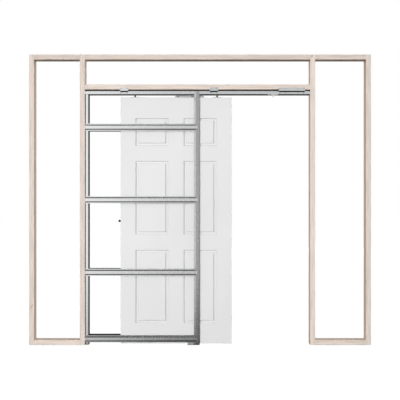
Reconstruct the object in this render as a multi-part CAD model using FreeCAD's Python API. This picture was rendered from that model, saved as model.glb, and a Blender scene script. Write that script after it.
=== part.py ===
import FreeCAD, Part
import math
import os

Vector = FreeCAD.Vector

# A pocket door frame: a timber stud wall bay with a folded steel pocket, a head track and a sliding panelled
# door half way out of the pocket. X runs along the wall, Y through it (the front is -Y), Z is up.
# The origin is the middle of the floor bracket's underside, between the two jamb posts, on the wall's
# mid-plane.

# Door leaf
door_width = 920.0
door_height = 2040.0
door_thickness = 35.0
door_floor_gap = 8.5
door_shown_at_rest = 265.0
skin_thickness = 9.0

# Moulded panels of the door skins, from the top of the door down
stile_width = 119.0
mullion_width = 120.0
top_rail_height = 167.0
upper_panel_height = 234.0
frieze_rail_height = 122.0
lock_rail_height = 117.0
lower_panel_height = 609.0
bottom_rail_height = 177.0
moulding_depth = 7.0
quirk_depth = 2.0
ovolo_run = 13.0
valley_run = 3.0
ogee_run = 24.0
panel_field_setback = 1.5

# Travel of the door
bumper_length = 20.0
bumper_radius = 10.5
bumper_nose_radius = 8.0
bumper_nose_length = 5.0
bumper_height_on_door = 1016.0
bumper_gap_when_open = 5.5
door_lap_when_shut = 13.0
strike_gap_when_shut = 6.0

# Timber
over_header_clear = 205.5
wall_depth = 90.0
timber_thickness = 42.0
timber_arris_radius = 2.5
left_bay_clear = 378.0
right_bay_clear = 419.0

# Head channel, sliding track and the brackets that hang them from the timber header
door_to_head = 24.5
head_channel_height = 23.5
head_channel_width = 87.0
head_channel_sheet = 1.5
head_channel_fold = 1.5
header_gap = 14.0
track_width = 36.0
track_wall = 2.0
track_slot_width = 12.0
bracket_sheet = 1.5
bracket_fold = 3.0
bracket_height = 30.5
short_bracket_length = 68.5
long_bracket_length = 219.0
pocket_bracket_from_stud = 324.0
mouth_bracket_from_mouth = 118.0
strike_bracket_from_stud = 151.0
short_bracket_fixings = (-25.5, 25.5)
long_bracket_fixings = (-98.5, -50.0, 50.0, 98.5)
bracket_screw_rise = 8.0
bracket_screw_hole_radius = 3.8
hook_notch_height = 8.0
hook_notch_depth = 3.0
hook_notch_end_margin = 3.0
tongue_slit_width = 3.5
tongue_root = 4.0

# Steel pocket: end post, jamb posts and rails
rail_depth = 10.0
rail_sheet = 1.2
rail_fold = 1.2
rail_crown = 25.0
rail_slope = 9.5
rail_lip = 8.0
rail_heights = {"lower": 600.0, "middle": 1200.0, "upper": 1800.0}
bottom_rail_base = 22.0
bottom_rail_crown = 18.0
bottom_rail_slope = 17.0
bottom_rail_lip = 3.0
rail_end_gap = 0.5
post_sheet = 1.5
end_post_flange = 28.5
end_post_fold = 7.5
end_post_base = 22.0
foot_lap = 30.0
foot_cheek_width = 20.0
foot_toe = 8.0
foot_base_thickness = 2.0
jamb_fold = 1.5
jamb_flange = 17.4
jamb_face = 17.0
jamb_face_fall = 2.0
jamb_nose = 12.3
jamb_nose_fall = 6.0
jamb_return = 11.5
jamb_lip = 6.0
jamb_tab_inset = 3.0
jamb_tab_length = 55.0
jamb_tab_top_margin = 2.5

# Floor bracket and door guide at the mouth of the pocket
floor_bracket_length = 101.0
floor_bracket_width = 86.0
floor_bracket_thickness = 2.5
floor_screw_spacing_x = 70.0
floor_screw_spacing_y = 30.0
floor_screw_hole_radius = 3.0
guide_length = 50.0
guide_thickness = 10.0
guide_height = 17.5
guide_clearance = 5.5
guide_lead_in = 3.0

# Hangers, trolleys and soft-close gear
hanger_inset = 119.0
hanger_plate_length = 75.0
hanger_plate_width = 30.0
hanger_plate_thickness = 3.0
hanger_plate_corner = 7.5
hanger_bolt_radius = 4.0
hanger_nut_across_flats = 13.0
hanger_nut_height = 14.0
trolley_length = 60.0
trolley_thickness = 6.0
trolley_height = 11.0
wheel_radius = 8.0
wheel_thickness = 7.0
wheel_pitch = 38.0
wheel_running_gap = 0.3
axle_rib_height = 5.0
axle_rib_depth = 1.3
track_stop_length = 28.0
track_stop_height = 12.0
track_stop_gap = 7.0
track_stop_clearance = 0.3
soft_close_length = 240.0
soft_close_width = 20.0
soft_close_height = 17.5
soft_close_from_leading_edge = 348.0
soft_close_groove_width = 8.0
soft_close_groove_depth = 5.0
soft_close_end_chamfer = 6.0
catch_window_from_end = 17.5
catch_window_length = 13.0
carriage_window_from_end = 132.0
carriage_window_length = 25.0
damper_window_from_end = 195.0
damper_window_length = 10.0
window_sill = 3.0
window_height = 8.0
window_depth = 3.0
trigger_length = 87.0
trigger_thickness = 15.0
trigger_height = 18.0
trigger_drop = 6.0
trigger_end_chamfer = 5.0
trigger_from_strike = 305.0
trigger_pin_radius = 4.5
trigger_pin_length = 15.5

# Edges this close to a size are the ones that have it
same_size = 0.001

# Places that follow from the sizes above
front_face = -wall_depth / 2
back_face = wall_depth / 2
mouth_x = floor_bracket_length / 2
strike_x = mouth_x + door_width - door_lap_when_shut + strike_gap_when_shut
pocket_x = mouth_x - door_width - bumper_length - bumper_gap_when_open - post_sheet
door_lead_x = mouth_x + door_shown_at_rest
door_rear_x = door_lead_x - door_width
door_base_z = door_floor_gap
door_top_z = door_base_z + door_height
open_travel = -door_shown_at_rest
shut_travel = strike_x - strike_gap_when_shut - door_lead_x
head_base_z = door_top_z + door_to_head
head_top_z = head_base_z + head_channel_height
header_base_z = head_top_z + header_gap
plate_base_z = header_base_z + timber_thickness + over_header_clear
wall_height = plate_base_z + timber_thickness
track_roof_z = head_top_z - head_channel_sheet
post_face = wall_depth / 2 - rail_depth
jamb_x = mouth_x - jamb_flange - jamb_face - jamb_nose
hanger_places = {"rear": door_rear_x + hanger_inset, "leading": door_lead_x - hanger_inset}


def block(x_from, x_to, y_from, y_to, z_from, z_to):
    """A plain box between two corners."""
    return Part.makeBox(x_to - x_from, y_to - y_from, z_to - z_from, Vector(x_from, y_from, z_from))


def folded_strip(points, sheet, fold):
    """Outline of a folded sheet as (corner, radius) pairs.
    Its outer face runs through the points, its thickness lies to the left, and fold is the outside radius."""
    corners = [Vector(u, v, 0) for u, v in points]
    runs = [(after - before).normalize() for before, after in zip(corners, corners[1:])]
    lefts = [Vector(-run.y, run.x, 0) for run in runs]
    outside = fold
    inside = max(fold - sheet, 0)
    face = []
    lining = []
    for index, corner in enumerate(corners):
        before = lefts[max(index - 1, 0)]
        after = lefts[min(index, len(lefts) - 1)]
        turn = before.cross(after).z
        radii = (outside, inside) if turn > 0 else (inside, outside)
        is_end = index in (0, len(corners) - 1)
        mitre = (before + after) * (sheet / (1 + before.dot(after)))
        face.append((corner, 0 if is_end else radii[0]))
        lining.append((corner + mitre, 0 if is_end else radii[1]))
    return face + lining[::-1]


def rounded_face(outline, place):
    """Flat face inside (corner, radius) pairs, with a tangent arc at each corner that has a radius."""
    stops = []
    for index, (corner, radius) in enumerate(outline):
        back = (outline[index - 1][0] - corner).normalize()
        ahead = (outline[(index + 1) % len(outline)][0] - corner).normalize()
        half_angle = back.getAngle(ahead) / 2
        run = radius / math.tan(half_angle)
        middle = (back + ahead).normalize() * (radius / math.sin(half_angle) - radius)
        stops.append((place(corner + back * run), place(corner + middle), place(corner + ahead * run)))
    edges = []
    for index, (start, middle, end) in enumerate(stops):
        edges.append(Part.LineSegment(stops[index - 1][2], start).toShape())
        if outline[index][1] > 0:
            edges.append(Part.Arc(start, middle, end).toShape())
    return Part.Face(Part.Wire(edges))


def extrude_along_x(outline, x_from, x_to):
    """Carry a (y, z) outline along the wall."""
    face = rounded_face(outline, lambda corner: Vector(x_from, corner.x, corner.y))
    return face.extrude(Vector(x_to - x_from, 0, 0))


def extrude_along_z(outline, z_from, z_to):
    """Carry an (x, y) outline up the wall."""
    face = rounded_face(outline, lambda corner: Vector(corner.x, corner.y, z_from))
    return face.extrude(Vector(0, 0, z_to - z_from))


def to_back(shape):
    """The same piece on the back of the wall."""
    return shape.mirror(Vector(0, 0, 0), Vector(0, 1, 0))


def timber(x_from, x_to, z_from, z_to):
    """A planed stud, plate or header of the wall's full depth, with its long arrises eased."""
    stick = block(x_from, x_to, front_face, back_face, z_from, z_to)
    run = max(x_to - x_from, z_to - z_from)
    long_edges = [edge for edge in stick.Edges if abs(edge.Length - run) < same_size]
    return stick.makeFillet(timber_arris_radius, long_edges)


def timber_frame():
    """Four full-height studs, with plates and the door header fitted between them."""
    pocket_out_x = pocket_x - timber_thickness
    left_in_x = pocket_out_x - left_bay_clear
    strike_out_x = strike_x + timber_thickness
    right_in_x = strike_out_x + right_bay_clear
    studs = {
        "left_end_stud": left_in_x - timber_thickness,
        "pocket_stud": pocket_out_x,
        "strike_stud": strike_x,
        "right_end_stud": right_in_x,
    }
    bays = {
        "left": (left_in_x, pocket_out_x),
        "middle": (pocket_x, strike_x),
        "right": (strike_out_x, right_in_x),
    }
    pieces = {name: timber(x, x + timber_thickness, 0, wall_height) for name, x in studs.items()}
    for name, (x_from, x_to) in bays.items():
        pieces[name + "_top_plate"] = timber(x_from, x_to, plate_base_z, wall_height)
    for name in ("left", "right"):
        pieces[name + "_bottom_plate"] = timber(*bays[name], 0, timber_thickness)
    pieces["door_header"] = timber(*bays["middle"], header_base_z, header_base_z + timber_thickness)
    return pieces


def header_brackets():
    """Folded saddles: the shelf lies on the head channel and the plates are screwed to the header's faces."""
    centres = {
        "pocket": (pocket_x + pocket_bracket_from_stud, short_bracket_length, short_bracket_fixings),
        "mouth": (mouth_x + mouth_bracket_from_mouth, short_bracket_length, short_bracket_fixings),
        "strike": (strike_x - strike_bracket_from_stud, long_bracket_length, long_bracket_fixings),
    }
    plate_y = wall_depth / 2 + bracket_sheet
    top_z = head_top_z + bracket_height
    screw_z = header_base_z + bracket_screw_rise
    saddle = [(-plate_y, top_z), (-plate_y, head_top_z), (plate_y, head_top_z), (plate_y, top_z)]
    section = folded_strip(saddle, bracket_sheet, bracket_fold)
    pieces = {}
    hooks = []
    for name, (x, length, fixings) in centres.items():
        saddle_piece = extrude_along_x(section, x - length / 2, x + length / 2)
        for offset in fixings:
            drill_from = Vector(x + offset, -plate_y, screw_z)
            drill = Part.makeCylinder(bracket_screw_hole_radius, 2 * plate_y, drill_from, Vector(0, 1, 0))
            saddle_piece = saddle_piece.cut(drill)
        pieces[name + "_header_bracket"] = saddle_piece
        hooks.append((x, length - 2 * hook_notch_end_margin, [x + offset for offset in fixings]))
    return pieces, hooks


def head_channel(hooks):
    """Inverted steel channel from stud to stud.
    Under each bracket its folds are notched, and slits below the notch free the tongues that hook on."""
    side_y = head_channel_width / 2
    section = [(side_y, head_base_z), (side_y, head_top_z), (-side_y, head_top_z), (-side_y, head_base_z)]
    outline = folded_strip(section, head_channel_sheet, head_channel_fold)
    channel = extrude_along_x(outline, pocket_x, strike_x)
    notch_y = hook_notch_depth - side_y
    notch_z = head_top_z - hook_notch_height
    slit_z = head_base_z + tongue_root
    slit_half = tongue_slit_width / 2
    cuts = []
    for x, length, slits in hooks:
        cuts.append(block(x - length / 2, x + length / 2, -side_y, notch_y, notch_z, head_top_z))
        for slit_x in slits:
            cuts.append(block(slit_x - slit_half, slit_x + slit_half, -side_y, notch_y, slit_z, notch_z))
    return channel.cut(cuts + [to_back(cut) for cut in cuts])


def sliding_track():
    """Aluminium C section under the channel's web; the wheels run on its two lips."""
    side_y = track_width / 2
    slot_y = track_slot_width / 2
    section = [
        (slot_y, head_base_z),
        (side_y, head_base_z),
        (side_y, track_roof_z),
        (-side_y, track_roof_z),
        (-side_y, head_base_z),
        (-slot_y, head_base_z),
    ]
    return extrude_along_x(folded_strip(section, track_wall, 0), pocket_x, strike_x)


def track_stops():
    """Blocks clamped on the track lips, just past the trolleys' last places."""
    half_width = track_width / 2 - track_wall - track_stop_clearance
    lip_z = head_base_z + track_wall
    reach = trolley_length / 2 + track_stop_gap
    pocket_end = hanger_places["rear"] + open_travel - reach
    strike_end = hanger_places["leading"] + shut_travel + reach
    spans = {
        "pocket": (pocket_end - track_stop_length, pocket_end),
        "strike": (strike_end, strike_end + track_stop_length),
    }
    pieces = {}
    for name, (x_from, x_to) in spans.items():
        stop = block(x_from, x_to, -half_width, half_width, lip_z, lip_z + track_stop_height)
        upright = [edge for edge in stop.Edges if abs(edge.Length - track_stop_height) < same_size]
        pieces[name + "_track_stop"] = stop.makeChamfer(track_stop_gap / 2, upright)
    return pieces


def soft_close_trigger():
    """Moulded block on the track's front side, with the pin that trips the soft-close unit.
    The pin hangs clear of the leaf, which passes behind it."""
    centre_x = strike_x - trigger_from_strike
    side_y = -track_width / 2
    base_z = head_base_z - trigger_drop
    front_y = side_y - trigger_thickness
    strip = block(centre_x - trigger_length / 2, centre_x + trigger_length / 2, front_y, side_y,
                  base_z, base_z + trigger_height)
    low_ends = [
        edge for edge in strip.Edges
        if abs(edge.Length - trigger_thickness) < same_size and abs(edge.CenterOfMass.z - base_z) < same_size
    ]
    strip = strip.makeChamfer(trigger_end_chamfer, low_ends)
    pin_foot = Vector(centre_x, front_y + trigger_pin_radius, base_z - trigger_pin_length)
    pin = Part.makeCylinder(trigger_pin_radius, trigger_pin_length, pin_foot)
    return strip.fuse(pin).removeSplitter()


def hat_rail(centre_z, crown, slope, lip, x_from, x_to):
    """Front rail of hat section: its crown is flush with the timber, its lips lie on the posts' flanges."""
    crown_half = crown / 2
    lip_start = crown_half + slope
    lip_end = lip_start + lip
    lip_y = -post_face - rail_sheet
    section = [
        (lip_y, centre_z + lip_end),
        (lip_y, centre_z + lip_start),
        (front_face, centre_z + crown_half),
        (front_face, centre_z - crown_half),
        (lip_y, centre_z - lip_start),
        (lip_y, centre_z - lip_end),
    ]
    return extrude_along_x(folded_strip(section, rail_sheet, rail_fold), x_from, x_to)


def pocket_rails():
    """Three rails and a heavier bottom rail on each side of the pocket."""
    rail_end_x = jamb_x + jamb_flange - rail_end_gap
    bottom_rail_height = bottom_rail_crown + 2 * bottom_rail_slope + 2 * bottom_rail_lip
    pieces = {}
    for name, height in rail_heights.items():
        rail = hat_rail(height, rail_crown, rail_slope, rail_lip, pocket_x, rail_end_x)
        pieces["front_" + name + "_rail"] = rail
    pieces["front_bottom_rail"] = hat_rail(
        bottom_rail_base + bottom_rail_height / 2, bottom_rail_crown, bottom_rail_slope, bottom_rail_lip,
        pocket_x, rail_end_x,
    )
    for name in list(pieces):
        pieces[name.replace("front", "back")] = to_back(pieces[name])
    return pieces


def end_post():
    """Steel channel on the pocket stud, open towards the door; the rails' lips lie on its flanges."""
    flange_x = pocket_x + end_post_flange
    section = [(flange_x, post_face), (pocket_x, post_face), (pocket_x, -post_face), (flange_x, -post_face)]
    return extrude_along_z(folded_strip(section, post_sheet, end_post_fold), end_post_base, head_base_z)


def end_post_foot():
    """Folded foot: a base on the floor and two cheeks inside the end post's flanges, clear of its folds."""
    cheek_y = post_face - post_sheet
    inner_x = pocket_x + post_sheet
    heel_x = pocket_x + max(end_post_fold, post_sheet)
    cheek_x = inner_x + foot_cheek_width
    toe_x = cheek_x + foot_toe
    outline = [
        (heel_x, 0),
        (toe_x, 0),
        (toe_x, foot_base_thickness),
        (cheek_x, end_post_base),
        (cheek_x, end_post_base + foot_lap),
        (heel_x, end_post_base + foot_lap),
    ]
    corners = [Vector(x, -cheek_y, z) for x, z in outline]
    cheek = Part.Face(Part.makePolygon(corners + corners[:1])).extrude(Vector(0, post_sheet, 0))
    base = block(inner_x, toe_x, -cheek_y, cheek_y, 0, foot_base_thickness)
    return base.fuse([cheek, to_back(cheek)]).removeSplitter()


def jamb_post():
    """Front split jamb: a flange that takes the rails, a face that falls away to the nose, and a return."""
    face_x = jamb_x + jamb_flange
    nose_x = face_x + jamb_face
    nose_y = front_face + jamb_face_fall + jamb_nose_fall
    return_y = nose_y + jamb_return
    section = [
        (jamb_x, -post_face),
        (face_x, -post_face),
        (face_x, front_face),
        (nose_x, front_face + jamb_face_fall),
        (mouth_x, nose_y),
        (mouth_x, return_y),
        (mouth_x - jamb_lip, return_y),
    ]
    post = extrude_along_z(folded_strip(section, post_sheet, jamb_fold), floor_bracket_thickness, head_base_z)
    tab_back_y = -head_channel_width / 2
    tab_top_z = head_top_z - jamb_tab_top_margin
    tab = block(jamb_x + jamb_tab_inset, nose_x - jamb_tab_inset, front_face, tab_back_y,
                tab_top_z - jamb_tab_length, tab_top_z)
    return post.fuse(tab).removeSplitter()


def floor_bracket():
    """Flat plate under the two jamb posts, with four screw holes to the floor."""
    plate = block(-floor_bracket_length / 2, floor_bracket_length / 2, -floor_bracket_width / 2,
                  floor_bracket_width / 2, 0, floor_bracket_thickness)
    for x_side in (-1, 1):
        for y_side in (-1, 1):
            place = Vector(x_side * floor_screw_spacing_x / 2, y_side * floor_screw_spacing_y / 2, 0)
            plate = plate.cut(Part.makeCylinder(floor_screw_hole_radius, floor_bracket_thickness, place))
    return plate


def floor_guide():
    """Two moulded cheeks on the floor bracket that keep the foot of the door in line."""
    inner_y = door_thickness / 2 + guide_clearance
    start_x = -floor_bracket_length / 2
    cheek = block(start_x, start_x + guide_length, -inner_y - guide_thickness, -inner_y,
                  floor_bracket_thickness, floor_bracket_thickness + guide_height)
    inner_uprights = [
        edge for edge in cheek.Edges
        if abs(edge.Length - guide_height) < same_size and abs(edge.CenterOfMass.y + inner_y) < same_size
    ]
    cheek = cheek.makeChamfer(guide_lead_in, inner_uprights)
    return Part.makeCompound([cheek, to_back(cheek)])


def level_arc_middle(level, other):
    """Middle point of the arc that is level at its first end and reaches the other end, as (inset, sink)."""
    run = other[0] - level[0]
    rise = other[1] - level[1]
    half_turn = math.atan2(abs(rise), abs(run))
    radius = abs(run) / math.sin(2 * half_turn)
    inset = math.copysign(radius * math.sin(half_turn), run)
    sink = math.copysign(radius * (1 - math.cos(half_turn)), rise)
    return level[0] + inset, level[1] + sink


def moulding_section(place):
    """Section of the groove round a panel: a quirk, an ovolo, a flat valley and an ogee up to the field."""
    valley_end = ovolo_run + valley_run
    edge = (0, panel_field_setback)
    quirk = (0, quirk_depth)
    valley = (ovolo_run, moulding_depth)
    ogee = (valley_end, moulding_depth)
    ogee_middle = (valley_end + ogee_run / 2, (moulding_depth + panel_field_setback) / 2)
    field = (valley_end + ogee_run, panel_field_setback)
    curves = [
        Part.LineSegment(place(edge), place(quirk)),
        Part.Arc(place(quirk), place(level_arc_middle(quirk, valley)), place(valley)),
        Part.LineSegment(place(valley), place(ogee)),
        Part.Arc(place(ogee), place(level_arc_middle(ogee, ogee_middle)), place(ogee_middle)),
        Part.Arc(place(ogee_middle), place(level_arc_middle(field, ogee_middle)), place(field)),
        Part.LineSegment(place(field), place(edge)),
    ]
    return Part.Face(Part.Wire([curve.toShape() for curve in curves]))


def moulding_groove(x_from, x_to, z_from, z_to, face_y):
    """The groove round one panel: its section carried along the four sides and mitred at the corners."""
    run = ovolo_run + valley_run + ogee_run
    corners = [
        Vector(x_from, face_y, z_from),
        Vector(x_to, face_y, z_from),
        Vector(x_to, face_y, z_to),
        Vector(x_from, face_y, z_to),
    ]
    sides = []
    for start, end in zip(corners, corners[1:] + corners[:1]):
        along = (end - start).normalize()
        inward = Vector(-along.z, 0, along.x)
        section = moulding_section(lambda spot: start + inward * spot[0] + Vector(0, spot[1], 0))
        trapezium = [start, end, end + (inward - along) * run, start + (inward + along) * run, start]
        wedge = Part.Face(Part.makePolygon(trapezium)).extrude(Vector(0, moulding_depth, 0))
        sides.append(section.extrude(end - start).common(wedge))
    return sides


def panel_places():
    """The six panels of the door as (x from, x to, z from, z to)."""
    panel_width = (door_width - 2 * stile_width - mullion_width) / 2
    upper_top_z = door_top_z - top_rail_height
    upper_base_z = upper_top_z - upper_panel_height
    lower_base_z = door_base_z + bottom_rail_height
    lower_top_z = lower_base_z + lower_panel_height
    rows = [
        (upper_base_z, upper_top_z),
        (lower_top_z + lock_rail_height, upper_base_z - frieze_rail_height),
        (lower_base_z, lower_top_z),
    ]
    columns = [door_rear_x + stile_width, door_lead_x - stile_width - panel_width]
    return [(x, x + panel_width, z_from, z_to) for x in columns for z_from, z_to in rows]


def door_leaf():
    """Flat core between two moulded skins, each with six sunk panels and raised fields."""
    face_y = -door_thickness / 2
    core_y = face_y + skin_thickness
    skin = block(door_rear_x, door_lead_x, face_y, core_y, door_base_z, door_top_z)
    for x_from, x_to, z_from, z_to in panel_places():
        sinking = block(x_from, x_to, face_y, face_y + panel_field_setback, z_from, z_to)
        skin = skin.cut([sinking] + moulding_groove(x_from, x_to, z_from, z_to, face_y))
    core = block(door_rear_x, door_lead_x, core_y, -core_y, door_base_z, door_top_z)
    return {"door_core": core, "door_front_skin": skin, "door_back_skin": to_back(skin)}


def hanger_gear():
    """Two hangers: a plate and bolt on the door's top edge, and a trolley in the track.
    A rib on each side of the trolley's body holds the axles of its two wheels."""
    lip_z = head_base_z + track_wall
    axle_z = lip_z + wheel_running_gap + wheel_radius
    body_base_z = axle_z - trolley_height / 2
    plate_top_z = door_top_z + hanger_plate_thickness
    wheel_y = trolley_thickness / 2 + axle_rib_depth
    nut_radius = hanger_nut_across_flats / math.sqrt(3)
    across = Vector(0, 1, 0)
    pieces = {}
    for name, x in hanger_places.items():
        plate = block(x - hanger_plate_length / 2, x + hanger_plate_length / 2, -hanger_plate_width / 2,
                      hanger_plate_width / 2, door_top_z, plate_top_z)
        uprights = [edge for edge in plate.Edges if abs(edge.Length - hanger_plate_thickness) < same_size]
        pieces[name + "_hanger_plate"] = plate.makeFillet(hanger_plate_corner, uprights)
        shank = Part.makeCylinder(hanger_bolt_radius, body_base_z - plate_top_z, Vector(x, 0, plate_top_z))
        hexagon = []
        for corner in range(7):
            turn = corner * math.pi / 3
            spoke = Vector(nut_radius * math.cos(turn), nut_radius * math.sin(turn), plate_top_z)
            hexagon.append(Vector(x, 0, 0) + spoke)
        nut = Part.Face(Part.makePolygon(hexagon)).extrude(Vector(0, 0, hanger_nut_height))
        pieces[name + "_hanger_bolt"] = shank.fuse(nut).removeSplitter()
        body = block(x - trolley_length / 2, x + trolley_length / 2, -trolley_thickness / 2,
                     trolley_thickness / 2, body_base_z, body_base_z + trolley_height)
        rib = block(x - trolley_length / 2, x + trolley_length / 2, -wheel_y, wheel_y,
                    axle_z - axle_rib_height / 2, axle_z + axle_rib_height / 2)
        wheels = []
        for x_wheel in (x - wheel_pitch / 2, x + wheel_pitch / 2):
            for y_wheel in (-wheel_y - wheel_thickness, wheel_y):
                hub = Vector(x_wheel, y_wheel, axle_z)
                wheels.append(Part.makeCylinder(wheel_radius, wheel_thickness, hub, across))
        pieces[name + "_trolley"] = body.fuse(rib).removeSplitter()
        pieces[name + "_trolley_wheels"] = Part.makeCompound(wheels)
    return pieces


def soft_close_unit():
    """Grooved housing on the door's top edge, between the hangers, with three windows sunk in each side."""
    centre_x = door_lead_x - soft_close_from_leading_edge
    start_x = centre_x - soft_close_length / 2
    end_x = centre_x + soft_close_length / 2
    top_z = door_top_z + soft_close_height
    housing = block(start_x, end_x, -soft_close_width / 2, soft_close_width / 2, door_top_z, top_z)
    end_edges = [
        edge for edge in housing.Edges
        if abs(edge.Length - soft_close_width) < same_size and abs(edge.CenterOfMass.z - top_z) < same_size
    ]
    housing = housing.makeChamfer(soft_close_end_chamfer, end_edges)
    groove = block(start_x, end_x, -soft_close_groove_width / 2, soft_close_groove_width / 2,
                   top_z - soft_close_groove_depth, top_z)
    windows = {
        start_x + catch_window_from_end: catch_window_length,
        start_x + carriage_window_from_end: carriage_window_length,
        start_x + damper_window_from_end: damper_window_length,
    }
    side_y = -soft_close_width / 2
    sill_z = door_top_z + window_sill
    cuts = [groove]
    for window_x, length in windows.items():
        window = block(window_x, window_x + length, side_y, side_y + window_depth,
                       sill_z, sill_z + window_height)
        cuts += [window, to_back(window)]
    return housing.cut(cuts)


def rear_bumper():
    """Round rubber buffer on the door's rear edge, with a smaller nose."""
    centre_z = door_base_z + bumper_height_on_door
    outwards = Vector(-1, 0, 0)
    buffer_length = bumper_length - bumper_nose_length
    seat = Vector(door_rear_x, 0, centre_z)
    buffer = Part.makeCylinder(bumper_radius, buffer_length, seat, outwards)
    nose_seat = seat + outwards * buffer_length
    nose = Part.makeCylinder(bumper_nose_radius, bumper_nose_length, nose_seat, outwards)
    return buffer.fuse(nose)


def all_pieces():
    """Every piece of the frame and the door, by name."""
    brackets, hooks = header_brackets()
    front_post = jamb_post()
    pieces = timber_frame()
    pieces.update(brackets)
    pieces["head_channel"] = head_channel(hooks)
    pieces["sliding_track"] = sliding_track()
    pieces.update(track_stops())
    pieces["soft_close_trigger"] = soft_close_trigger()
    pieces["end_post"] = end_post()
    pieces["end_post_foot"] = end_post_foot()
    pieces["front_jamb_post"] = front_post
    pieces["back_jamb_post"] = to_back(front_post)
    pieces["jamb_floor_bracket"] = floor_bracket()
    pieces["floor_guide"] = floor_guide()
    pieces.update(pocket_rails())
    pieces.update(door_leaf())
    pieces.update(hanger_gear())
    pieces["soft_close_unit"] = soft_close_unit()
    pieces["rear_bumper"] = rear_bumper()
    return pieces


os.makedirs("parts", exist_ok=True)
for node, shape in all_pieces().items():
    shape.exportStep(os.path.join("parts", node + ".step"))
    print(node, "valid" if shape.isValid() else "NOT VALID", len(shape.Solids), round(shape.Volume / 1000, 1))
print("slide travel", open_travel, shut_travel)
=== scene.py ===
import math
import bmesh
import bpy
import numpy as np
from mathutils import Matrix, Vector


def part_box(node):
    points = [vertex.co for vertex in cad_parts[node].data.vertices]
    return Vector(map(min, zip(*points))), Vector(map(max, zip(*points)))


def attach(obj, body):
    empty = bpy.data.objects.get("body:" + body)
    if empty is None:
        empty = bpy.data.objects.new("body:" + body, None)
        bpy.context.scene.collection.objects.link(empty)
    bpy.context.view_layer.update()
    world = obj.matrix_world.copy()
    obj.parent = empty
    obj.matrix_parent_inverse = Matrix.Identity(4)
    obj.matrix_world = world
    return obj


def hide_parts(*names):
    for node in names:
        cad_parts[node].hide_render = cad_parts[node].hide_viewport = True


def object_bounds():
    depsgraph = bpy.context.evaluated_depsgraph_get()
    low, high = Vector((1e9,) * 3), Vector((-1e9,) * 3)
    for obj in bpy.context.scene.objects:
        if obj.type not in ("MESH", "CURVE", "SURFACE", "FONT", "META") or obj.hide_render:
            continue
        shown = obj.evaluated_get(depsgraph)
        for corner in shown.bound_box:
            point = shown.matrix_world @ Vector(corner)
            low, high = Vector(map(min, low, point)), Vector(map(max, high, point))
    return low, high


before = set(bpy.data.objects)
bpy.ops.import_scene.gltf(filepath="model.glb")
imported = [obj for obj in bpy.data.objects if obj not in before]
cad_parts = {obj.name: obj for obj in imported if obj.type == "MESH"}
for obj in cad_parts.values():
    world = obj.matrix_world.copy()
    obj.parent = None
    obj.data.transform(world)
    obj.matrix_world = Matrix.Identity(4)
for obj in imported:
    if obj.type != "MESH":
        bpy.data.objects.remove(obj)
cad_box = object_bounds()

# Timber studs, plates and door header: planed softwood, 42 by 90 mm, with eased arrises.
# Every stick is sawn from its own log, so it has its own heart, lean of the rings, tone and knots.
# The plates and the header are fitted between the studs.

ALONG_WALL = (1.0, 0.0, 0.0)
THROUGH_WALL = (0.0, 1.0, 0.0)
UPWARD = (0.0, 0.0, 1.0)


def wire(tree, value, socket):
    """Puts a number, a colour or another node's output on a socket."""
    if isinstance(value, bpy.types.NodeSocket):
        tree.links.new(value, socket)
    else:
        socket.default_value = value


def calc(tree, operation, *values):
    """One step of arithmetic on numbers or sockets."""
    node = tree.nodes.new("ShaderNodeMath")
    node.operation = operation
    for value, socket in zip(values, node.inputs):
        wire(tree, value, socket)
    return node.outputs[0]


def calc_vector(tree, operation, *values):
    """One step of vector arithmetic; a length or a dot product comes back as a number."""
    node = tree.nodes.new("ShaderNodeVectorMath")
    node.operation = operation
    for value, socket in zip(values, node.inputs):
        wire(tree, value, socket)
    return node.outputs["Value" if operation in ("LENGTH", "DOT_PRODUCT") else "Vector"]


def part_along(tree, vector, way):
    """How far a vector reaches along a way: their dot product."""
    return calc_vector(tree, "DOT_PRODUCT", vector, way)


def outlook(tree):
    """The way that the surface looks at each point."""
    return tree.nodes.new("ShaderNodeNewGeometry").outputs["Normal"]


def remap(tree, value, low, high, to_low, to_high):
    """The value carried from one range to another along a smooth step, and held at both ends."""
    node = tree.nodes.new("ShaderNodeMapRange")
    node.interpolation_type = "SMOOTHSTEP"
    limits = {"Value": value, "From Min": low, "From Max": high, "To Min": to_low, "To Max": to_high}
    for place, amount in limits.items():
        wire(tree, amount, node.inputs[place])
    return node.outputs["Result"]


SHARE_SOCKET = 0
FIRST_COLOUR_SOCKET = 6
SECOND_COLOUR_SOCKET = 7
MIXED_COLOUR_SOCKET = 2


def mix_colours(tree, share, first, second):
    """First colour at a share of 0, second at 1."""
    node = tree.nodes.new("ShaderNodeMix")
    node.data_type = "RGBA"
    wire(tree, share, node.inputs[SHARE_SOCKET])
    wire(tree, first, node.inputs[FIRST_COLOUR_SOCKET])
    wire(tree, second, node.inputs[SECOND_COLOUR_SOCKET])
    return node.outputs[MIXED_COLOUR_SOCKET]


def noise(tree, place, per_metre, detail=2.0, output="Fac"):
    """Smooth noise with its own number of lumps to the metre along each axis."""
    node = tree.nodes.new("ShaderNodeTexNoise")
    node.inputs["Scale"].default_value = 1.0
    node.inputs["Detail"].default_value = detail
    wire(tree, calc_vector(tree, "MULTIPLY", place, per_metre), node.inputs["Vector"])
    return node.outputs[output]


def measured_from(tree, place, centre, turn, unit=(1.0, 1.0, 1.0)):
    """The place measured from a centre, along turned axes, in units of its own along each axis."""
    node = tree.nodes.new("ShaderNodeMapping")
    node.vector_type = "TEXTURE"
    node.inputs["Location"].default_value = centre
    node.inputs["Rotation"].default_value = turn
    node.inputs["Scale"].default_value = unit
    wire(tree, place, node.inputs["Vector"])
    return node.outputs["Vector"]


def open_air(tree, reach, shut_at, open_at):
    """How open a point is within a reach: 0 in a deep corner, 1 on a free face."""
    node = tree.nodes.new("ShaderNodeAmbientOcclusion")
    node.inputs["Distance"].default_value = reach
    return remap(tree, node.outputs["AO"], shut_at, open_at, 0.0, 1.0)


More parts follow.
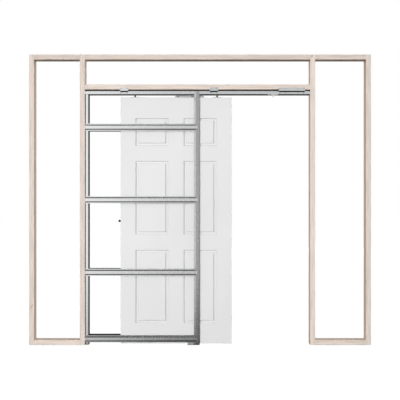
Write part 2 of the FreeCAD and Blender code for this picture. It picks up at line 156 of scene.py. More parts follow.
def emboss(tree, shader, height, depth, strength):
    """Fine relief that is too small for the mesh, as a bump of the given depth in metres."""
    node = tree.nodes.new("ShaderNodeBump")
    node.inputs["Strength"].default_value = strength
    node.inputs["Distance"].default_value = depth
    wire(tree, height, node.inputs["Height"])
    wire(tree, node.outputs["Normal"], shader.inputs["Normal"])


def blank_finish(name):
    """A new material, its node tree, its shader and the piece's Object coordinates."""
    material = bpy.data.materials.new(name)
    material.use_nodes = True
    tree = material.node_tree
    place = tree.nodes.new("ShaderNodeTexCoord").outputs["Object"]
    return material, tree, tree.nodes["Principled BSDF"], place


def dress(node, material):
    """Gives a carried-over solid its finish."""
    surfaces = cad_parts[node].data.materials
    surfaces.clear()
    surfaces.append(material)


EARLY_WOOD = np.array([0.832, 0.728, 0.652])
LATE_WOOD = np.array([0.660, 0.540, 0.445])
PINKISH_WOOD = np.array([0.808, 0.690, 0.622])
STREAK_WOOD = np.array([0.620, 0.555, 0.500])
KNOT_WOOD = (0.520, 0.380, 0.270, 1.0)
# Painted shade: the nearly black colour of deep corners.
WOOD_PAINTED_SHADE = (0.030, 0.024, 0.019, 1.0)
# Painted shade for the wide faces that look into a bay.
BAY_FACE_PAINTED_SHADE = (0.590, 0.458, 0.348, 1.0)
BAY_FACE_SHADE_SHARE = 0.80
FACE_TURN = (0.2, 0.8)
WOOD_SHADE_REACH = 0.06
WOOD_SHADE_EDGES = (0.0, 0.6)
NOISE_MIDDLE = (0.5, 0.5, 0.5)
NOISE_CORE = (0.3, 0.7)
SWAYS_PER_METRE = (9.0, 9.0, 1.1)
SWAY_REACH = (0.022, 0.022, 0.0)
ACROSS_LOG = (1.0, 1.0, 0.0)
RING_WIDTH = 0.0042
LATE_WOOD_RISE = (0.35, 0.88)
LATE_WOOD_FALL = (0.92, 1.0)
LATE_WOOD_SHARE = 0.45
FIBRES_PER_METRE = (650.0, 650.0, 8.0)
FIBRE_EDGES = (0.50, 0.80)
FIBRE_SHARE = 0.30
CLOUDS_PER_METRE = (14.0, 14.0, 1.6)
CLOUD_EDGES = (0.35, 0.65)
STREAKS_PER_METRE = (70.0, 70.0, 5.0)
STREAK_EDGES = (0.38, 0.68)
STREAK_SHARE = 0.65
NO_KNOT = 10.0
KNOT_RAGGEDNESS = 0.35
KNOT_EDGES = (0.9, 1.35)
KNOT_DARKNESS = 0.85
RING_PUSH_EDGES = (0.8, 3.2)
RING_PUSH_AT_KNOT = 1.6
WOOD_ROUGHNESS = (0.55, 0.70)
WOOD_GLOSS = 0.3
WOOD_RELIEF = (0.0002, 0.35)
LATE_WOOD_RELIEF = 0.5


def softwood(name, heart, turn, knots, tone, outer):
    """Pine from one log.
    The distance from the heart line, bent by slow noise and counted in ring widths, gives the rings: in each
    ring the pale early wood darkens to late wood and starts again. A knot is an ellipse that pushes the rings
    out. The wide faces that look into a bay get a painted shade; the narrow ones and the wall's outer sides
    don't. Deep corners, such as the gap under the header, get a painted shade that is nearly black.
    The log's tone scales the wood's colours."""
    shades = (EARLY_WOOD, LATE_WOOD, PINKISH_WOOD, STREAK_WOOD)
    early, late_shade, pinkish, greyish = [(*(tone * shade), 1.0) for shade in shades]
    material, tree, shader, place = blank_finish(name)
    in_log = measured_from(tree, place, heart, turn)
    sway = noise(tree, in_log, SWAYS_PER_METRE, output="Color")
    sway = calc_vector(tree, "SUBTRACT", sway, NOISE_MIDDLE)
    bent = calc_vector(tree, "ADD", in_log, calc_vector(tree, "MULTIPLY", sway, SWAY_REACH))
    from_heart = calc_vector(tree, "LENGTH", calc_vector(tree, "MULTIPLY", bent, ACROSS_LOG))
    rings = calc(tree, "DIVIDE", from_heart, RING_WIDTH)
    fibre = noise(tree, in_log, FIBRES_PER_METRE, detail=3.0)
    broad = noise(tree, in_log, CLOUDS_PER_METRE)
    streak = noise(tree, in_log, STREAKS_PER_METRE, detail=3.0)
    knot_edge = NO_KNOT
    for centre, lean, half_size in knots:
        in_knot = measured_from(tree, place, centre, (0.0, lean, 0.0), half_size)
        knot_edge = calc(tree, "MINIMUM", knot_edge, calc_vector(tree, "LENGTH", in_knot))
    knot_edge = calc(tree, "MULTIPLY_ADD", fibre, KNOT_RAGGEDNESS, knot_edge)
    pushed = remap(tree, knot_edge, *RING_PUSH_EDGES, RING_PUSH_AT_KNOT, 0.0)
    ring_part = calc(tree, "FRACT", calc(tree, "ADD", rings, pushed))
    darkening = remap(tree, ring_part, *LATE_WOOD_RISE, 0.0, 1.0)
    late = calc(tree, "MULTIPLY", darkening, remap(tree, ring_part, *LATE_WOOD_FALL, 1.0, 0.0))
    wood = mix_colours(tree, remap(tree, broad, *CLOUD_EDGES, 0.0, 1.0), early, pinkish)
    wood = mix_colours(tree, remap(tree, streak, *STREAK_EDGES, 0.0, STREAK_SHARE), wood, greyish)
    wood = mix_colours(tree, calc(tree, "MULTIPLY", late, LATE_WOOD_SHARE), wood, late_shade)
    wood = mix_colours(tree, remap(tree, fibre, *FIBRE_EDGES, 0.0, FIBRE_SHARE), wood, late_shade)
    wood = mix_colours(tree, remap(tree, knot_edge, *KNOT_EDGES, KNOT_DARKNESS, 0.0), wood, KNOT_WOOD)
    # Painted shade on the wide faces that look into a bay; the wall's outer sides are left out.
    normal = outlook(tree)
    across = calc(tree, "ABSOLUTE", part_along(tree, normal, THROUGH_WALL))
    inside = remap(tree, part_along(tree, normal, outer), *FACE_TURN, 1.0, 0.0)
    bay_face_shade = calc(tree, "MULTIPLY", inside, remap(tree, across, *FACE_TURN, BAY_FACE_SHADE_SHARE, 0.0))
    wood = mix_colours(tree, bay_face_shade, wood, BAY_FACE_PAINTED_SHADE)
    # Painted shade: deep corners, such as the gap under the header, darken almost to black.
    wood = mix_colours(tree, open_air(tree, WOOD_SHADE_REACH, *WOOD_SHADE_EDGES), WOOD_PAINTED_SHADE, wood)
    wire(tree, wood, shader.inputs["Base Color"])
    wire(tree, remap(tree, fibre, *NOISE_CORE, *WOOD_ROUGHNESS), shader.inputs["Roughness"])
    shader.inputs["Specular IOR Level"].default_value = WOOD_GLOSS
    emboss(tree, shader, calc(tree, "MULTIPLY_ADD", late, LATE_WOOD_RELIEF, fibre), *WOOD_RELIEF)
    return material


studs = ["left_end_stud", "pocket_stud", "strike_stud", "right_end_stud"]
top_plates = ["left_top_plate", "middle_top_plate", "right_top_plate"]
plates = top_plates + ["left_bottom_plate", "right_bottom_plate"]
STICK_TONES = {
    "strike_stud": 1.11, "right_end_stud": 1.06, "door_header": 1.04,
    "left_top_plate": 0.91, "middle_top_plate": 0.97, "left_bottom_plate": 1.07, "right_bottom_plate": 1.07,
}
OUTER_SIDES = dict.fromkeys(top_plates, UPWARD)
OUTER_SIDES["left_end_stud"] = (-1.0, 0.0, 0.0)
OUTER_SIDES["right_end_stud"] = ALONG_WALL
NO_OUTER_SIDE = (0.0, 0.0, 0.0)
HEART_NEAREST = 0.030
HEART_FARTHEST = 0.075
RING_LEAN = 0.012
KNOTTY_SHARE = 0.4
KNOT_SPAN = (0.15, 0.85)
KNOT_RADII = (0.003, 0.005)
KNOT_SHAPE = np.array([1.0, 40.0, 1.5])
SEEN_KNOTS = {
    "left_end_stud": (0.021, 0.317, 0.55, (0.0055, 1.0, 0.024)),
    "strike_stud": (0.015, 2.386, 0.60, (0.0080, 1.0, 0.0110)),
}
LOG_SEED = 11
log_yard = np.random.default_rng(LOG_SEED)
for stick in studs + plates + ["door_header"]:
    low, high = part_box(stick)
    middle = (low + high) / 2
    reach = high - low
    heart_distance = log_yard.uniform(HEART_NEAREST, HEART_FARTHEST, 2)
    side_heart, deep_heart = heart_distance * log_yard.choice((-1.0, 1.0), 2)
    lean = log_yard.uniform(-RING_LEAN, RING_LEAN, 2)
    spot = log_yard.uniform(*KNOT_SPAN, 3)
    has_knot = log_yard.random() < KNOTTY_SHARE
    knot_size = log_yard.uniform(*KNOT_RADII) * KNOT_SHAPE
    knot_place = (low.x + reach.x * spot[0], middle.y, low.z + reach.z * spot[2])
    knots = [(knot_place, 0.0, knot_size)] if has_knot else []
    if stick in studs:
        heart = (middle.x + side_heart, middle.y + deep_heart, middle.z)
        turn = (lean[0], lean[1], 0.0)
    else:
        heart = (middle.x, middle.y + deep_heart, middle.z + side_heart)
        turn = (lean[0], math.pi / 2 + lean[1], 0.0)
    if stick in SEEN_KNOTS:
        from_left, height, knot_lean, half_size = SEEN_KNOTS[stick]
        knots = [((low.x + from_left, middle.y, height), knot_lean, half_size)]
    tone = STICK_TONES.get(stick, 1.0)
    outer = OUTER_SIDES.get(stick, NO_OUTER_SIDE)
    dress(stick, softwood("pine_" + stick, heart, turn, knots, tone, outer))

# Nails of the timber frame: bright steel, flat heads, driven through the ends of the plates and the header.
# Two on each face at each end, not quite in line; the heads stand a little proud of the planed wood.

MILLIMETRE = 0.001
FACINGS = {
    "front": ((1, 0, 0), (0, 0, 1), (0, -1, 0)),
    "back": ((-1, 0, 0), (0, 0, 1), (0, 1, 0)),
    "right": ((0, 1, 0), (0, 0, 1), (1, 0, 0)),
    "left": ((0, -1, 0), (0, 0, 1), (-1, 0, 0)),
    "up": ((1, 0, 0), (0, 1, 0), (0, 0, 1)),
}
PLATING_CLOUDS_PER_METRE = (110.0, 110.0, 110.0)
PLATING_DULLING = 0.12


def plated_steel(name, bright, dark, roughness):
    """Zinc plating with slow darker clouds, rougher where it is darker."""
    material, tree, shader, place = blank_finish(name)
    clouds = noise(tree, place, PLATING_CLOUDS_PER_METRE, detail=3.0)
    cloud = remap(tree, clouds, *CLOUD_EDGES, 0.0, 1.0)
    wire(tree, mix_colours(tree, cloud, bright, dark), shader.inputs["Base Color"])
    shader.inputs["Metallic"].default_value = 1.0
    wire(tree, calc(tree, "MULTIPLY_ADD", cloud, PLATING_DULLING, roughness), shader.inputs["Roughness"])
    return material


def lay_grid(rows, columns, closed):
    """Quads between neighbours of a grid numbered row by row.
    A closed grid joins its last column to its first."""
    row, column = np.meshgrid(np.arange(rows - 1), np.arange(columns - (not closed)), indexing="ij")
    here = row * columns + column
    beside = row * columns + (column + 1) % columns
    return np.stack([here, beside, beside + columns, here + columns], axis=-1).reshape(-1, 4)


def turned(radius, height, around):
    """A profile turned about its axis: the radius and height of each station make one ring of points.
    The profile starts on the axis below, goes up the outside and ends on the axis above."""
    turn = np.linspace(0.0, 2 * math.pi, around, endpoint=False)
    x = radius[:, None] * np.cos(turn)
    y = radius[:, None] * np.sin(turn)
    z = np.repeat(height[:, None], around, axis=1)
    return np.stack([x, y, z], axis=-1), lay_grid(len(radius), around, True)


def fixed_at(shape, spots, facing):
    """Copies of a shape, one with its origin at each spot, its axis turned to face a side of the frame."""
    points, quads = shape
    local = points.reshape(-1, 3) @ np.array(FACINGS[facing], float)
    copies = np.array(spots, float)[:, None] + local
    starts = np.arange(len(copies)) * len(local)
    return copies.reshape(-1, 3), (quads + starts[:, None, None]).reshape(-1, 4)


def joined(shapes):
    """Several shapes as one: points in a row, quads renumbered after them."""
    counts = np.cumsum([0] + [len(points) for points, _ in shapes])
    quads = [quads + start for (_, quads), start in zip(shapes, counts)]
    return np.concatenate([points for points, _ in shapes]), np.concatenate(quads)


MERGE_WITHIN = 0.002 * MILLIMETRE


def make_piece(name, points, quads, finish, slot, body, crease_degrees=40.0):
    """A mesh from arrays of points and quads.
    Points that meet are merged, and edges above the crease angle stay sharp."""
    mesh = bpy.data.meshes.new(name)
    mesh.from_pydata(points.reshape(-1, 3), [], quads)
    work = bmesh.new()
    work.from_mesh(mesh)
    bmesh.ops.remove_doubles(work, verts=work.verts, dist=MERGE_WITHIN)
    work.to_mesh(mesh)
    work.free()
    mesh.shade_smooth()
    mesh.set_sharp_from_angle(angle=math.radians(crease_degrees))
    mesh.materials.append(finish)
    piece = bpy.data.objects.new(name, mesh)
    bpy.context.scene.collection.objects.link(piece)
    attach(piece, body)
    return piece


def fasten(name, shape, spots, facing, finish, body="frame"):
    """Fasteners of one shape, one at each spot, as one piece of hardware."""
    make_piece(name, *fixed_at(shape, spots, facing), finish, "zinc_hardware", body)


def face_on(side, low, high):
    """The place through the wall of a piece's face on the given side."""
    return low.y if side == "front" else high.y


NAIL_SHANK = 1.6 * MILLIMETRE
NAIL_BITE = 1.5 * MILLIMETRE
NAIL_NECK = 0.3 * MILLIMETRE
NAIL_HEAD = 3.3 * MILLIMETRE
NAIL_RIM = 0.25 * MILLIMETRE
NAIL_CROWN = 3.0 * MILLIMETRE
NAIL_SHOULDER = 0.4 * MILLIMETRE
NAIL_TOP = 0.5 * MILLIMETRE
NAIL_COLUMNS = 20
NAIL_BRIGHT = (0.56, 0.56, 0.55, 1.0)
NAIL_DARK = (0.42, 0.42, 0.42, 1.0)
NAIL_ROUGHNESS = 0.34
NAIL_FROM_END = 0.024
NAIL_RISE = 0.010
NAIL_STRAY = 0.003
HAMMER_SEED = 5
nail_steel = plated_steel("nail_steel", NAIL_BRIGHT, NAIL_DARK, NAIL_ROUGHNESS)
nail_radius = np.array([0.0, NAIL_SHANK, NAIL_SHANK, NAIL_HEAD, NAIL_HEAD, NAIL_CROWN, 0.0])
nail_height = np.array([-NAIL_BITE, -NAIL_BITE, -NAIL_NECK, 0.0, NAIL_RIM, NAIL_SHOULDER, NAIL_TOP])
nail = turned(nail_radius, nail_height, NAIL_COLUMNS)
hammer = np.random.default_rng(HAMMER_SEED)
for side in ("front", "back"):
    nails = []
    for stick in plates + ["door_header"]:
        low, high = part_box(stick)
        for x in (low.x + NAIL_FROM_END, high.x - NAIL_FROM_END):
            for z in (low.z + NAIL_RISE, high.z - NAIL_RISE):
                stray = hammer.uniform(-NAIL_STRAY, NAIL_STRAY, 2)
                nails.append((x + stray[0], face_on(side, low, high), z + stray[1]))
    fasten(side + "_nails", nail, nails, side, nail_steel)

# Folded steel of the pocket: end post and foot, jamb posts, floor bracket, hat rails.
# Zinc-coated strip, roll-formed to length; the coating shows faint crystals and fine lines along the rolling.
# Faces that look into the wall's hollow, deep corners and some edges get painted shade or a painted shadow;
# the jamb posts' faces are painted greyer to darken their reflection.

ZINC_BRIGHT = (0.732, 0.738, 0.744, 1.0)
ZINC_DULL = (0.700, 0.706, 0.712, 1.0)
# Painted shade in the reflection: a greyer zinc for the jamb posts' faces.
ZINC_PAINTED_DIM_REFLECTION = (0.455, 0.458, 0.460, 1.0)
# Painted shade for the hollow, deep corners and faces that look down.
ZINC_PAINTED_SHADE = (0.060, 0.060, 0.062, 1.0)
CRYSTALS_PER_METRE = 160.0
RED_CHANNEL = (1.0, 0.0, 0.0)
STEEL_SHADE_REACH = 0.06
SHUT_FOLD = 0.20
OPEN_FACE = 0.80
INWARD_TURN = (-0.5, -0.2)
DOWNWARD_TURN = (-0.6, -0.3)
DIM_REFLECTION_FADE = 0.005
FLANGE_DIM_REFLECTION_SHARE = 0.05
# Painted shadow: a nearly black coat for edges that lie in shadow.
PAINTED_SHADOW_COAT = (0.018, 0.018, 0.019, 1.0)
PAINTED_SHADOW_FADE = 0.0004
ZINC_ROUGHNESS = (0.20, 0.26)
CRYSTAL_ROUGHNESS = 0.05
ZINC_RELIEF = (0.0001, 0.05)


def galvanised(name, per_metre, under_shade=0.0, dim_reflection_from=None, painted_shadow=None, open_at=OPEN_FACE):
    """Zinc-coated sheet: each cell of a crystal pattern has its own brightness and gloss, and lines run along
    the rolling. Faces whose normal points to the wall's middle plane, and deep corners, get a painted shade;
    one that looks down gets its own share of painted shade. Past a given place along the wall, if there is
    one, the zinc is painted greyer to darken its reflection; past a given distance along a given way it gets
    a nearly black painted shadow."""
    material, tree, shader, place = blank_finish(name)
    crystals = tree.nodes.new("ShaderNodeTexVoronoi")
    crystals.inputs["Scale"].default_value = CRYSTALS_PER_METRE
    wire(tree, place, crystals.inputs["Vector"])
    crystal = part_along(tree, crystals.outputs["Color"], RED_CHANNEL)
    lines = noise(tree, place, per_metre, detail=3.0)
    zinc = mix_colours(tree, crystal, ZINC_DULL, ZINC_BRIGHT)
    # Painted shade: past the given place the zinc is greyed, darkening its reflection.
    if dim_reflection_from is not None:
        along = part_along(tree, place, ALONG_WALL)
        grey = remap(tree, along, dim_reflection_from, dim_reflection_from + DIM_REFLECTION_FADE, FLANGE_DIM_REFLECTION_SHARE, 1.0)
        zinc = mix_colours(tree, grey, zinc, ZINC_PAINTED_DIM_REFLECTION)
    # Painted shadow: a nearly black coat past a given distance along a given way.
    if painted_shadow is not None:
        way, distance = painted_shadow
        past = calc(tree, "SUBTRACT", part_along(tree, place, way), distance)
        zinc = mix_colours(tree, remap(tree, past, 0.0, PAINTED_SHADOW_FADE, 0.0, 1.0), zinc, PAINTED_SHADOW_COAT)
    # Painted shade: faces that look into the hollow, deep corners, and faces that look down.
    normal = outlook(tree)
    side = calc(tree, "SIGN", part_along(tree, place, THROUGH_WALL))
    outward = calc(tree, "MULTIPLY", part_along(tree, normal, THROUGH_WALL), side)
    outward = remap(tree, outward, *INWARD_TURN, 0.0, 1.0)
    unshaded_below = remap(tree, part_along(tree, normal, UPWARD), *DOWNWARD_TURN, 1.0 - under_shade, 1.0)
    unshaded = calc(tree, "MULTIPLY", outward, open_air(tree, STEEL_SHADE_REACH, SHUT_FOLD, open_at))
    unshaded = calc(tree, "MULTIPLY", unshaded, unshaded_below)
    wire(tree, mix_colours(tree, unshaded, ZINC_PAINTED_SHADE, zinc), shader.inputs["Base Color"])
    shader.inputs["Metallic"].default_value = 1.0
    gloss = remap(tree, lines, *NOISE_CORE, *ZINC_ROUGHNESS)
    wire(tree, calc(tree, "MULTIPLY_ADD", crystal, CRYSTAL_ROUGHNESS, gloss), shader.inputs["Roughness"])
    emboss(tree, shader, lines, *ZINC_RELIEF)
    return material


ROLLED_ALONG = (6.0, 900.0, 900.0)
ROLLED_UPRIGHT = (900.0, 900.0, 6.0)
RAIL_HEIGHTS = ("lower", "middle", "upper")
RAIL_UNDER_SHADE = 0.75
JAMB_FLANGE_WIDTH = 0.0150
POST_EDGE_SHADOW = 0.0029
OPEN_FOLD = 0.50
rail_steel = galvanised("galvanised_rail", ROLLED_ALONG, RAIL_UNDER_SHADE)
bottom_rail_steel = galvanised("galvanised_bottom_rail", ROLLED_ALONG)
post_steel = galvanised("galvanised_post", ROLLED_UPRIGHT)
# The jamb posts' faces, right of the flange, are painted greyer to darken their reflection.
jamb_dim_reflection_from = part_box("front_jamb_post")[0].x + JAMB_FLANGE_WIDTH
jamb_steel = galvanised("galvanised_jamb", ROLLED_UPRIGHT, dim_reflection_from=jamb_dim_reflection_from)
for side in ("front", "back"):
    for height in RAIL_HEIGHTS:
        dress(f"{side}_{height}_rail", rail_steel)
    dress(side + "_bottom_rail", bottom_rail_steel)
    dress(side + "_jamb_post", jamb_steel)
post_low, post_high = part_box("end_post")
# Painted shadow on the end post's edge by the pocket.
post_edge = (ALONG_WALL, post_high.x - POST_EDGE_SHADOW)
end_post_steel = galvanised("galvanised_end_post", ROLLED_UPRIGHT, painted_shadow=post_edge, open_at=OPEN_FOLD)
dress("end_post", end_post_steel)
for node in ("end_post_foot", "jamb_floor_bracket"):
    dress(node, post_steel)

# Rivets and screws of the pocket, zinc-plated steel: the rails' lips are riveted to the posts' flanges, and
# the bottom rails are screwed through the crown. Pan-head screws hold the end post to the stud, the jamb
# posts' tabs to the head channel, and the foot and the floor bracket to the floor.

BOTH_WAYS = np.array([-1.0, 1.0])
SCREW_STATIONS = np.array([1.0, 0.97, 0.88, 0.72, 0.62, 0.52, 0.42, 0.32, 0.22, 0.12, 0.0])
SCREW_SHANK = np.array([0.0, 0.5, 0.5])
SCREW_COLUMNS = 32
DOME_POWER = 4
CROSS_BAR = 0.13
CROSS_BAR_POWER = 4
CROSS_REACH = 0.62
CROSS_REACH_POWER = 12
CROSS_DEPTH = 0.75


def cross_screw(radius, rise, bite):
    """A pan head: a dome that starts steep at its rim and ends level, on a short shank.
    The dome's height is the root of one less a power of the share of the radius. A cross sunk in it, deepest
    where either bar's middle line runs, fades out at about two thirds of the radius."""
    dome = rise * (1 - SCREW_STATIONS ** DOME_POWER) ** 0.5
    radii = np.concatenate([SCREW_SHANK, SCREW_STATIONS]) * radius
    heights = np.concatenate([[-bite, -bite, 0.0], dome])
    points, quads = turned(radii, heights, SCREW_COLUMNS)
    along = np.abs(points[..., :2]).max(axis=-1) / radius
    aside = np.abs(points[..., :2]).min(axis=-1) / radius
    bar = np.exp(-(aside / CROSS_BAR) ** CROSS_BAR_POWER)
    cross = bar * np.exp(-(along / CROSS_REACH) ** CROSS_REACH_POWER)
    cross[:len(SCREW_SHANK)] = 0.0
    points[..., 2] -= cross * rise * CROSS_DEPTH
    return points, quads


SCREW_BRIGHT = (0.60, 0.60, 0.60, 1.0)
SCREW_DARK = (0.47, 0.47, 0.48, 1.0)
SCREW_ROUGHNESS = 0.26
RIVET_SHANK = 1.6
RIVET_BITE = 1.0
RIVET_NECK = 0.1
RIVET_DOME_RADII = (3.0, 2.9, 2.4, 1.5)
RIVET_DOME_RISE = (0.0, 0.35, 0.7, 0.95)
RIVET_MOUTH = (1.1, 0.95)
RIVET_FLOOR = (0.9, 0.6)
RIVET_COLUMNS = 24
RIVET_INTO_POST = 0.0085
RAIL_LIP_FROM_MIDDLE = 0.026
RAIL_SHEET = 0.0012
PAN_SCREW_RADIUS = 0.0042
PAN_SCREW_RISE = 0.0012
SCREW_BITE = 0.0015
TAB_SCREWS_FROM_JAMB = (0.011, 0.024)
TAB_SCREW_DROP = 0.010
screw_zinc = plated_steel("screw_zinc", SCREW_BRIGHT, SCREW_DARK, SCREW_ROUGHNESS)
rivet_radius = [0.0, RIVET_SHANK, RIVET_SHANK, *RIVET_DOME_RADII, RIVET_MOUTH[0], RIVET_FLOOR[0], 0.0]
rivet_height = [-RIVET_BITE, -RIVET_BITE, -RIVET_NECK, *RIVET_DOME_RISE]
rivet_height += [RIVET_MOUTH[1], RIVET_FLOOR[1], RIVET_FLOOR[1]]
rivet = turned(np.array(rivet_radius) * MILLIMETRE, np.array(rivet_height) * MILLIMETRE, RIVET_COLUMNS)
pan_screw = cross_screw(PAN_SCREW_RADIUS, PAN_SCREW_RISE, SCREW_BITE)
channel_low, channel_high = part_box("head_channel")
for side in ("front", "back"):
    jamb_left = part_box(side + "_jamb_post")[0].x
    rivet_columns = (post_high.x - RIVET_INTO_POST, jamb_left + RIVET_INTO_POST)
    rivets = []
    for height in RAIL_HEIGHTS:
        rail_low, rail_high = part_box(f"{side}_{height}_rail")
        lip = rail_high.y - RAIL_SHEET if side == "front" else rail_low.y + RAIL_SHEET
        for z in (rail_low.z + rail_high.z) / 2 + RAIL_LIP_FROM_MIDDLE * BOTH_WAYS:
            rivets += [(x, lip, z) for x in rivet_columns]
    fasten(side + "_rivets", rivet, rivets, side, screw_zinc)
    rail_low, rail_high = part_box(side + "_bottom_rail")
    face = face_on(side, rail_low, rail_high)
    screws = [(x, face, (rail_low.z + rail_high.z) / 2) for x in rivet_columns]
    screws += [(jamb_left + inset, face, channel_high.z - TAB_SCREW_DROP) for inset in TAB_SCREWS_FROM_JAMB]
    fasten(side + "_pocket_screws", pan_screw, screws, side, screw_zinc)

POST_SCREW_HEIGHTS = (0.20, 0.55, 0.85, 1.25, 1.60, 1.95)
POST_SCREW_APART = 0.012
POST_WALL = 0.0015
post_screws = []
for z in POST_SCREW_HEIGHTS:
    post_screws += [(post_low.x + POST_WALL, y, z) for y in POST_SCREW_APART * BOTH_WAYS]
fasten("end_post_screws", pan_screw, post_screws, "right", screw_zinc)

FLOOR_SCREW_RADIUS = 0.0050
FLOOR_SCREW_RISE = 0.0009
FLOOR_SCREWS_X = 0.035
FLOOR_SCREWS_Y = 0.015
FOOT_SCREW_X = 0.017
FOOT_PLATE = 0.002
floor_screw = cross_screw(FLOOR_SCREW_RADIUS, FLOOR_SCREW_RISE, SCREW_BITE)
bracket_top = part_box("jamb_floor_bracket")[1].z
floor_screws = []
for x in FLOOR_SCREWS_X * BOTH_WAYS:
    floor_screws += [(x, y, bracket_top) for y in FLOOR_SCREWS_Y * BOTH_WAYS]
floor_screws += [(post_low.x + FOOT_SCREW_X, y, FOOT_PLATE) for y in FLOOR_SCREWS_Y * BOTH_WAYS]
fasten("floor_screws", floor_screw, floor_screws, "up", screw_zinc)

# Lapped ends: each rail's crown ends in a flat tab that lies over the jamb post's face, and the post's face
# is drawn out at the top into a lap over the head channel.
# Sheared from the same zinc-coated strip and pressed on.

TAB_SQUARENESS = 0.10
TAB_STANDS_PROUD = 0.0012
RAIL_TAB_FROM = -0.004
RAIL_TAB_TO = 0.0115
CROWN_SHARES = {"lower": 0.42, "middle": 0.42, "upper": 0.42, "bottom": 0.31}
HEAD_LAP_RIGHT = 0.0015
HEAD_LAP_LEFT = 0.0155
BLOCK_RINGS = 17
BLOCK_COLUMNS = 32


def rounded_block(half_size, squareness):
    """A block with soft edges: the superellipsoid, a sphere whose cosines and sines are raised to a small
    power."""
    rises = np.linspace(-math.pi / 2, math.pi / 2, BLOCK_RINGS)
    turns = np.linspace(0.0, 2 * math.pi, BLOCK_COLUMNS, endpoint=False)
    rise, turn = np.meshgrid(rises, turns, indexing="ij")
    waves = (np.cos(rise), np.cos(turn), np.sin(turn), np.sin(rise))
    girth, east, north, up = [np.sign(wave) * np.abs(wave) ** squareness for wave in waves]
    points = np.stack([girth * east, girth * north, up], axis=-1) * np.array(half_size)
    points[[0, -1], :, :2] = 0.0
    return points, lay_grid(BLOCK_RINGS, BLOCK_COLUMNS, True)


for side in ("front", "back"):
    tabs = []
    for height, share in CROWN_SHARES.items():
        low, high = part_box(f"{side}_{height}_rail")
        half_size = ((RAIL_TAB_TO - RAIL_TAB_FROM) / 2, TAB_STANDS_PROUD, share * (high.z - low.z) / 2)
        tab_middle = high.x + (RAIL_TAB_FROM + RAIL_TAB_TO) / 2
        spot = (tab_middle, face_on(side, low, high), (low.z + high.z) / 2)
        tabs.append(fixed_at(rounded_block(half_size, TAB_SQUARENESS), [spot], "up"))
    make_piece(side + "_rail_tabs", *joined(tabs), rail_steel, "galvanised_steel", "frame")
    jamb_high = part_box(side + "_jamb_post")[1]
    half_size = ((HEAD_LAP_LEFT - HEAD_LAP_RIGHT) / 2, TAB_STANDS_PROUD, (jamb_high.z - channel_low.z) / 2)
    lap_middle = jamb_high.x - (HEAD_LAP_LEFT + HEAD_LAP_RIGHT) / 2
    spot = (lap_middle, face_on(side, channel_low, channel_high), (jamb_high.z + channel_low.z) / 2)
    lap = fixed_at(rounded_block(half_size, TAB_SQUARENESS), [spot], "up")
    make_piece(side + "_head_lap", *lap, jamb_steel, "galvanised_steel", "frame")

# Head channel and the three brackets that hang it from the door header.
# Folded zinc-coated steel; each bracket saddles the channel, whose tongues hook it from below.
# Flat-head screws lie in the holes of its plates, flush with the steel, and bite into the timber.

CHANNEL_EDGE_SHADOW = 0.0017
BRACKET_EDGE_SHADOW = 0.0034
BRACKET_FIXINGS = {"pocket": (-25.5, 25.5), "mouth": (-25.5, 25.5), "strike": (-98.5, -50.0, 50.0, 98.5)}
BRACKET_SHEET = 0.0015
BRACKET_SCREW_RISE = 0.008
FLAT_SCREW_RADIUS = 0.0036
FLAT_SCREW_RISE = 0.0012
FLAT_SCREW_BITE = 0.0001
# Painted shadow along the channel's top edge under the header, and along the brackets' lower edge.
upper_edge = (UPWARD, channel_high.z - CHANNEL_EDGE_SHADOW)
channel_steel = galvanised("galvanised_channel", ROLLED_ALONG, RAIL_UNDER_SHADE, painted_shadow=upper_edge)
dress("head_channel", channel_steel)
lower_edge = ((0.0, 0.0, -1.0), -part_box("pocket_header_bracket")[0].z - BRACKET_EDGE_SHADOW)
bracket_steel = galvanised("galvanised_bracket", ROLLED_ALONG, RAIL_UNDER_SHADE, painted_shadow=lower_edge)
for name in BRACKET_FIXINGS:
    dress(name + "_header_bracket", bracket_steel)
flat_screw = cross_screw(FLAT_SCREW_RADIUS, FLAT_SCREW_RISE, FLAT_SCREW_BITE)
screw_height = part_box("door_header")[0].z + BRACKET_SCREW_RISE
for side, outward in (("front", -1.0), ("back", 1.0)):
    spots = []
    for name, offsets in BRACKET_FIXINGS.items():
        low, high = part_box(name + "_header_bracket")
        sunk = outward * ((high.y - low.y) / 2 - BRACKET_SHEET)
        spots += [((low.x + high.x) / 2 + offset * MILLIMETRE, sunk, screw_height) for offset in offsets]
    fasten(side + "_bracket_screws", flat_screw, spots, side, screw_zinc)

# Sliding track inside the head channel: an extruded aluminium C section, left as it came from the press.
# The die draws fine lines along it. Its colours are a painted shade, far darker than bare aluminium, and
# darken further in deep corners inside the channel.

# Painted shade: bare aluminium would be far brighter; the two tones carry the die lines.
ALUMINIUM_SHADED_LIGHT = (0.200, 0.202, 0.204, 1.0)
ALUMINIUM_SHADED_DARK = (0.150, 0.152, 0.154, 1.0)
DIE_LINES_PER_METRE = (1.5, 1400.0, 1400.0)
TRACK_SHADE_REACH = 0.10
TRACK_SHADE_EDGES = (0.45, 0.95)
TRACK_ROUGHNESS = (0.14, 0.22)
TRACK_RELIEF = (0.00008, 0.15)


def pressed_aluminium(name):
    """Bare extrusion: brightness and roughness follow lines drawn out along the wall."""
    material, tree, shader, place = blank_finish(name)
    lines = noise(tree, place, DIE_LINES_PER_METRE)
    metal = mix_colours(tree, lines, ALUMINIUM_SHADED_DARK, ALUMINIUM_SHADED_LIGHT)
    # Painted shade in deep corners inside the channel.
    metal = mix_colours(tree, open_air(tree, TRACK_SHADE_REACH, *TRACK_SHADE_EDGES), ZINC_PAINTED_SHADE, metal)
    wire(tree, metal, shader.inputs["Base Color"])
    shader.inputs["Metallic"].default_value = 1.0
    wire(tree, remap(tree, lines, *NOISE_CORE, *TRACK_ROUGHNESS), shader.inputs["Roughness"])
    emboss(tree, shader, lines, *TRACK_RELIEF)
    return material


